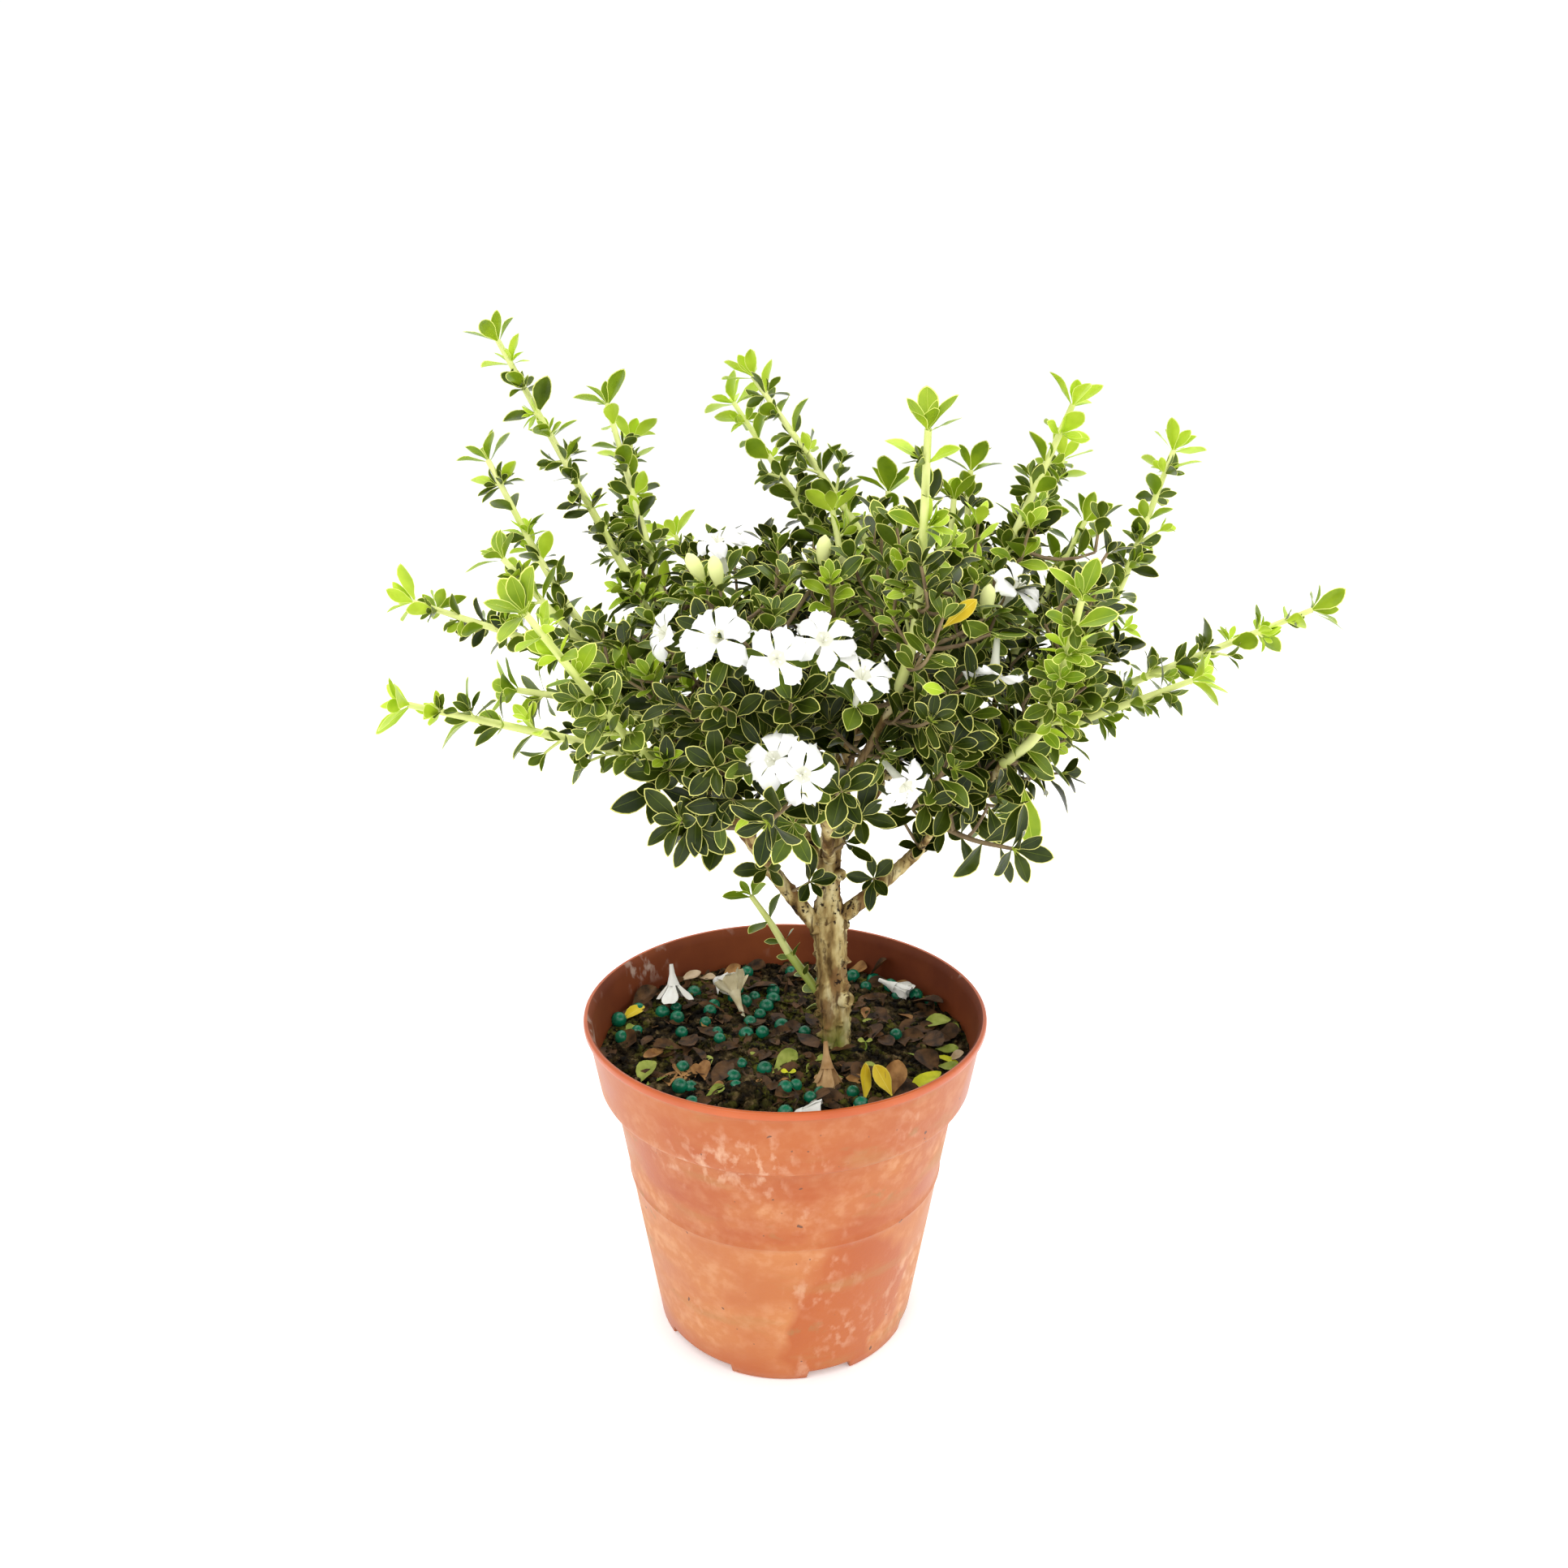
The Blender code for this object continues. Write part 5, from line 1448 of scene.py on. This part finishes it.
def grow_seedlings():
    for x, y, kind in SEEDLINGS_AT:
        top = on_soil(x, y, 3.2)
        stem = np.array([on_soil(x, y), on_soil(x + 0.4, y, 1.6), top])
        SEEDLINGS.extend(tube(stem, (0.25, 0.22, 0.2), 5))
        for way in ((-1.0, 0.2, 0.3), (1.0, -0.3, 0.4)):
            add_leaf(kind, top, unit(way), UP, 2.4, 0.85, 0.1)


def build_litter():
    """Crumbs of soil, feed pellets, fallen leaves, fallen flowers and two seedlings."""
    crumbs = scattered_crumbs()
    pellets = [(BALL[0] * DICE.uniform(1.8, 2.5) + on_ground(x, y, DICE.uniform(0.2, 1.4)), BALL[1])
               for x, y in PELLETS]
    drop_leaves()
    grow_seedlings()
    for row in DROPPED:
        dropped_flower(*row)
    half = len(crumbs) // 2
    pieces = (
        ("soil_crumbs", crumbs[:half], DARK),
        ("soil_crumbs_more", crumbs[half:], DARK),
        ("feed_pellets", pellets, skin("feed_pellet")),
        ("fallen_flowers_white", WILTED["white"], skin("fallen_white")),
        ("fallen_flowers_pale", WILTED["pale"], skin("fallen_pale")),
        ("fallen_flower_dry", WILTED["dry"], skin("fallen_dry")),
        ("seedlings", SEEDLINGS, plain("seedling_green", (0.25, 0.38, 0.05), 0.5)),
    )
    for name, chunks, finish in pieces:
        show(name, chunks, finish, "soil")
    for kind, (low, high) in LITTER_COLOURS.items():
        finish = patterned("litter_" + kind, low, high, *LITTER_SKIN, Specular_IOR_Level=0.2)
        show("litter_" + kind, [shaped_leaves(*BLADE, LEAVES[kind])], finish, "soil")


# Building

def build_stage():
    """Camera, white floor, lamps and sky."""
    camera = bpy.data.cameras.new("camera")
    camera.lens = CAMERA_LENS
    camera.sensor_width = SENSOR
    camera.clip_start = 0.01
    eye = placed("camera", camera, CAMERA_AT, (math.radians(90 - CAMERA_PITCH), 0, 0))
    bpy.context.scene.camera = eye
    bpy.context.scene.view_settings.view_transform = "Standard"
    corners = [(x * FLOOR_HALF, y * FLOOR_HALF, FLOOR_Z) for x, y in ((-1, -1), (1, -1), (1, 1), (-1, 1))]
    white = plain("floor_white", (1.0, 1.0, 1.0), 0.6, Emission_Color=(1, 1, 1, 1), Emission_Strength=0.2)
    floor = add_mesh("floor", [(np.array(corners), np.array([[0, 1, 2, 3]]))], white)
    for name, at, power, size, colour in LAMPS:
        lamp = bpy.data.lights.new(name, "AREA")
        lamp.energy = power
        lamp.size = size
        lamp.color = colour
        placed(name, lamp, at, (LIT_PLACE - Vector(at)).to_track_quat("-Z", "Y").to_euler())
    world = bpy.data.worlds.new("studio")
    world.use_nodes = True
    sky = world.node_tree.nodes["Background"]
    sky.inputs["Color"].default_value = (1, 1, 1, 1)
    sky.inputs["Strength"].default_value = SKY
    bpy.context.scene.world = world


def build_wood(lines):
    """Trunk and boughs as one piece with the bark's relief."""
    chunks = []
    for name, (path, radii) in lines.items():
        if name != "shoot_low":
            chunks += bark_tube(path, radii, *BARKS[name.split("_")[0]])
    for place, facing, radius in KNOTS:
        chunks += knot(np.array(place, float), unit(facing), radius)
    stood_for = [name for name in BOUGHS if name != "shoot_low"]
    show("bark_wood", chunks, bark_material(), "bark", "trunk", *stood_for)


def grow_masses(lines, skeleton):
    """The long shoots of every mass, each from its limb past a place to its own tip."""
    for name, (limb, *routes) in MASSES.items():
        path, _ = lines[limb]
        for through, tip in routes:
            line = smooth_path([path[-2], path[-1], through, tip], 3.0)
            start = int(len(line) * np.linalg.norm(path[-1] - path[-2]) / lengths_along(line)[-1])
            if name in SHADED:
                grow_shaded(line[start:], skeleton)
            elif name == "mass_shoot_low":
                grow_sucker(line[start:])
            else:
                grow_shoot(line[start:-2], skeleton)


def grow_sprigs(lines):
    """The small leafy sprigs on the bare boughs."""
    wood = np.concatenate([smooth_path(path, 2.0) for path, _ in lines.values()])
    for place, length in SPRIGS:
        foot = wood[np.argmin(np.linalg.norm(wood - np.array(place), axis=1))]
        tip = np.array(place, float) + np.array((0, -3, 2))
        add_twig(foot, tip, -0.5, (0.6, 0.4), 4)
        rosette("deep", tip, unit(tip - foot), 6, 66, length)


def bearing_twig(skeleton, tip):
    """A twig from the nearest wood, to bear a flower or a bud."""
    foot, reach = skeleton.nearest(tip)
    add_twig(foot, tip, -0.08 * min(reach, 60), (0.7, 0.45), 6)


def grow_flowers(skeleton):
    """The open flowers, the closed buds and the leaves that stand out, each on a twig."""
    for place, facing, size in BLOSSOMS:
        way = unit(facing)
        back = np.array(place) - way * 10.5
        bearing_twig(skeleton, back)
        rosette("mid", back, way, 6, 78, 11.0)
        add_flower(np.array(place, float), way, size)
    for place, heading in BUDS:
        foot = np.array(place, float)
        bearing_twig(skeleton, foot)
        add_bud(foot, heading)
        rosette("mid", foot, unit(heading), 5, 66, 8.5)
    for kind, place, heading, length in ODD_LEAVES:
        foot = np.array(place, float)
        add_twig(skeleton.nearest(foot)[0], foot, -1, (0.55, 0.35))
        add_leaf(kind, foot, unit(heading), np.array((0.0, -1.0, 0.4)), length, 0.36, 0.12)


def build_foliage(lines):
    """All that grows from the wood, the placed things first, and the pieces made of it."""
    skeleton = Skeleton()
    for name, (path, _) in lines.items():
        if name != "shoot_low":
            skeleton.add(path, 0.55 if name != "trunk" else 0.9, 1.0)
    grow_masses(lines, skeleton)
    stem, radii = lines["shoot_low"]
    for share in (0.15, 0.35, 0.6, 0.9):
        pair_at(stem, share, "mid", share * 12, 55, DICE.uniform(5.5, 8.5))
    grow_sprigs(lines)
    grow_flowers(skeleton)
    grow_twigs(skeleton)
    show_foliage(tube(stem, radii * 1.1, 10))


def show_foliage(low_stem):
    """The pieces of the crown, each kind apart."""
    for kind, (low, high, roughness, edge_colour, rib_colour) in LEAF_LOOKS.items():
        finish = patterned("leaf_" + kind, low, high, *LEAF_SKIN, roughness, *LEAF_RELIEF,
                           Specular_IOR_Level=LEAF_GLOSS)
        stood_for = MASSES if kind == "deep" else ()
        show("leaves_" + kind, [shaped_leaves(*BLADE, LEAVES[kind])], finish, "foliage", *stood_for)
        for part, template, colour in (("margin", STRIPS, edge_colour), ("midrib", MIDRIB, rib_colour)):
            finish = plain(part + "_" + kind, colour, 0.5, Specular_IOR_Level=LEAF_GLOSS)
            show(part + "s_" + kind, [shaped_leaves(*template, LEAVES[kind])], finish, "foliage")
    others = (
        ("young_shoots", SHOOTS, skin("shoot_skin")),
        ("low_shoot_stem", low_stem, skin("low_shoot_skin"), "shoot_low"),
        ("fine_twigs", TWIGS, skin("twig_skin")),
        ("calyxes", CALYX, plain("calyx_green", (0.42, 0.52, 0.05), 0.45)),
        ("petals", PETALS, skin("petal_white")),
        ("flower_tubes", THROATS, plain("tube_white", (0.84, 0.84, 0.72), 0.5)),
        ("flower_buds", BUD_SKINS, plain("bud_pale", (0.86, 0.90, 0.38), 0.5, Specular_IOR_Level=0.3)),
    )
    for name, chunks, finish, *stood_for in others:
        show(name, chunks, finish, "foliage", *stood_for)


build_stage()
build_pot()
DARK = soil_material()
build_soil()
build_litter()
LINES = limb_lines()
build_wood(LINES)
build_foliage(LINES)
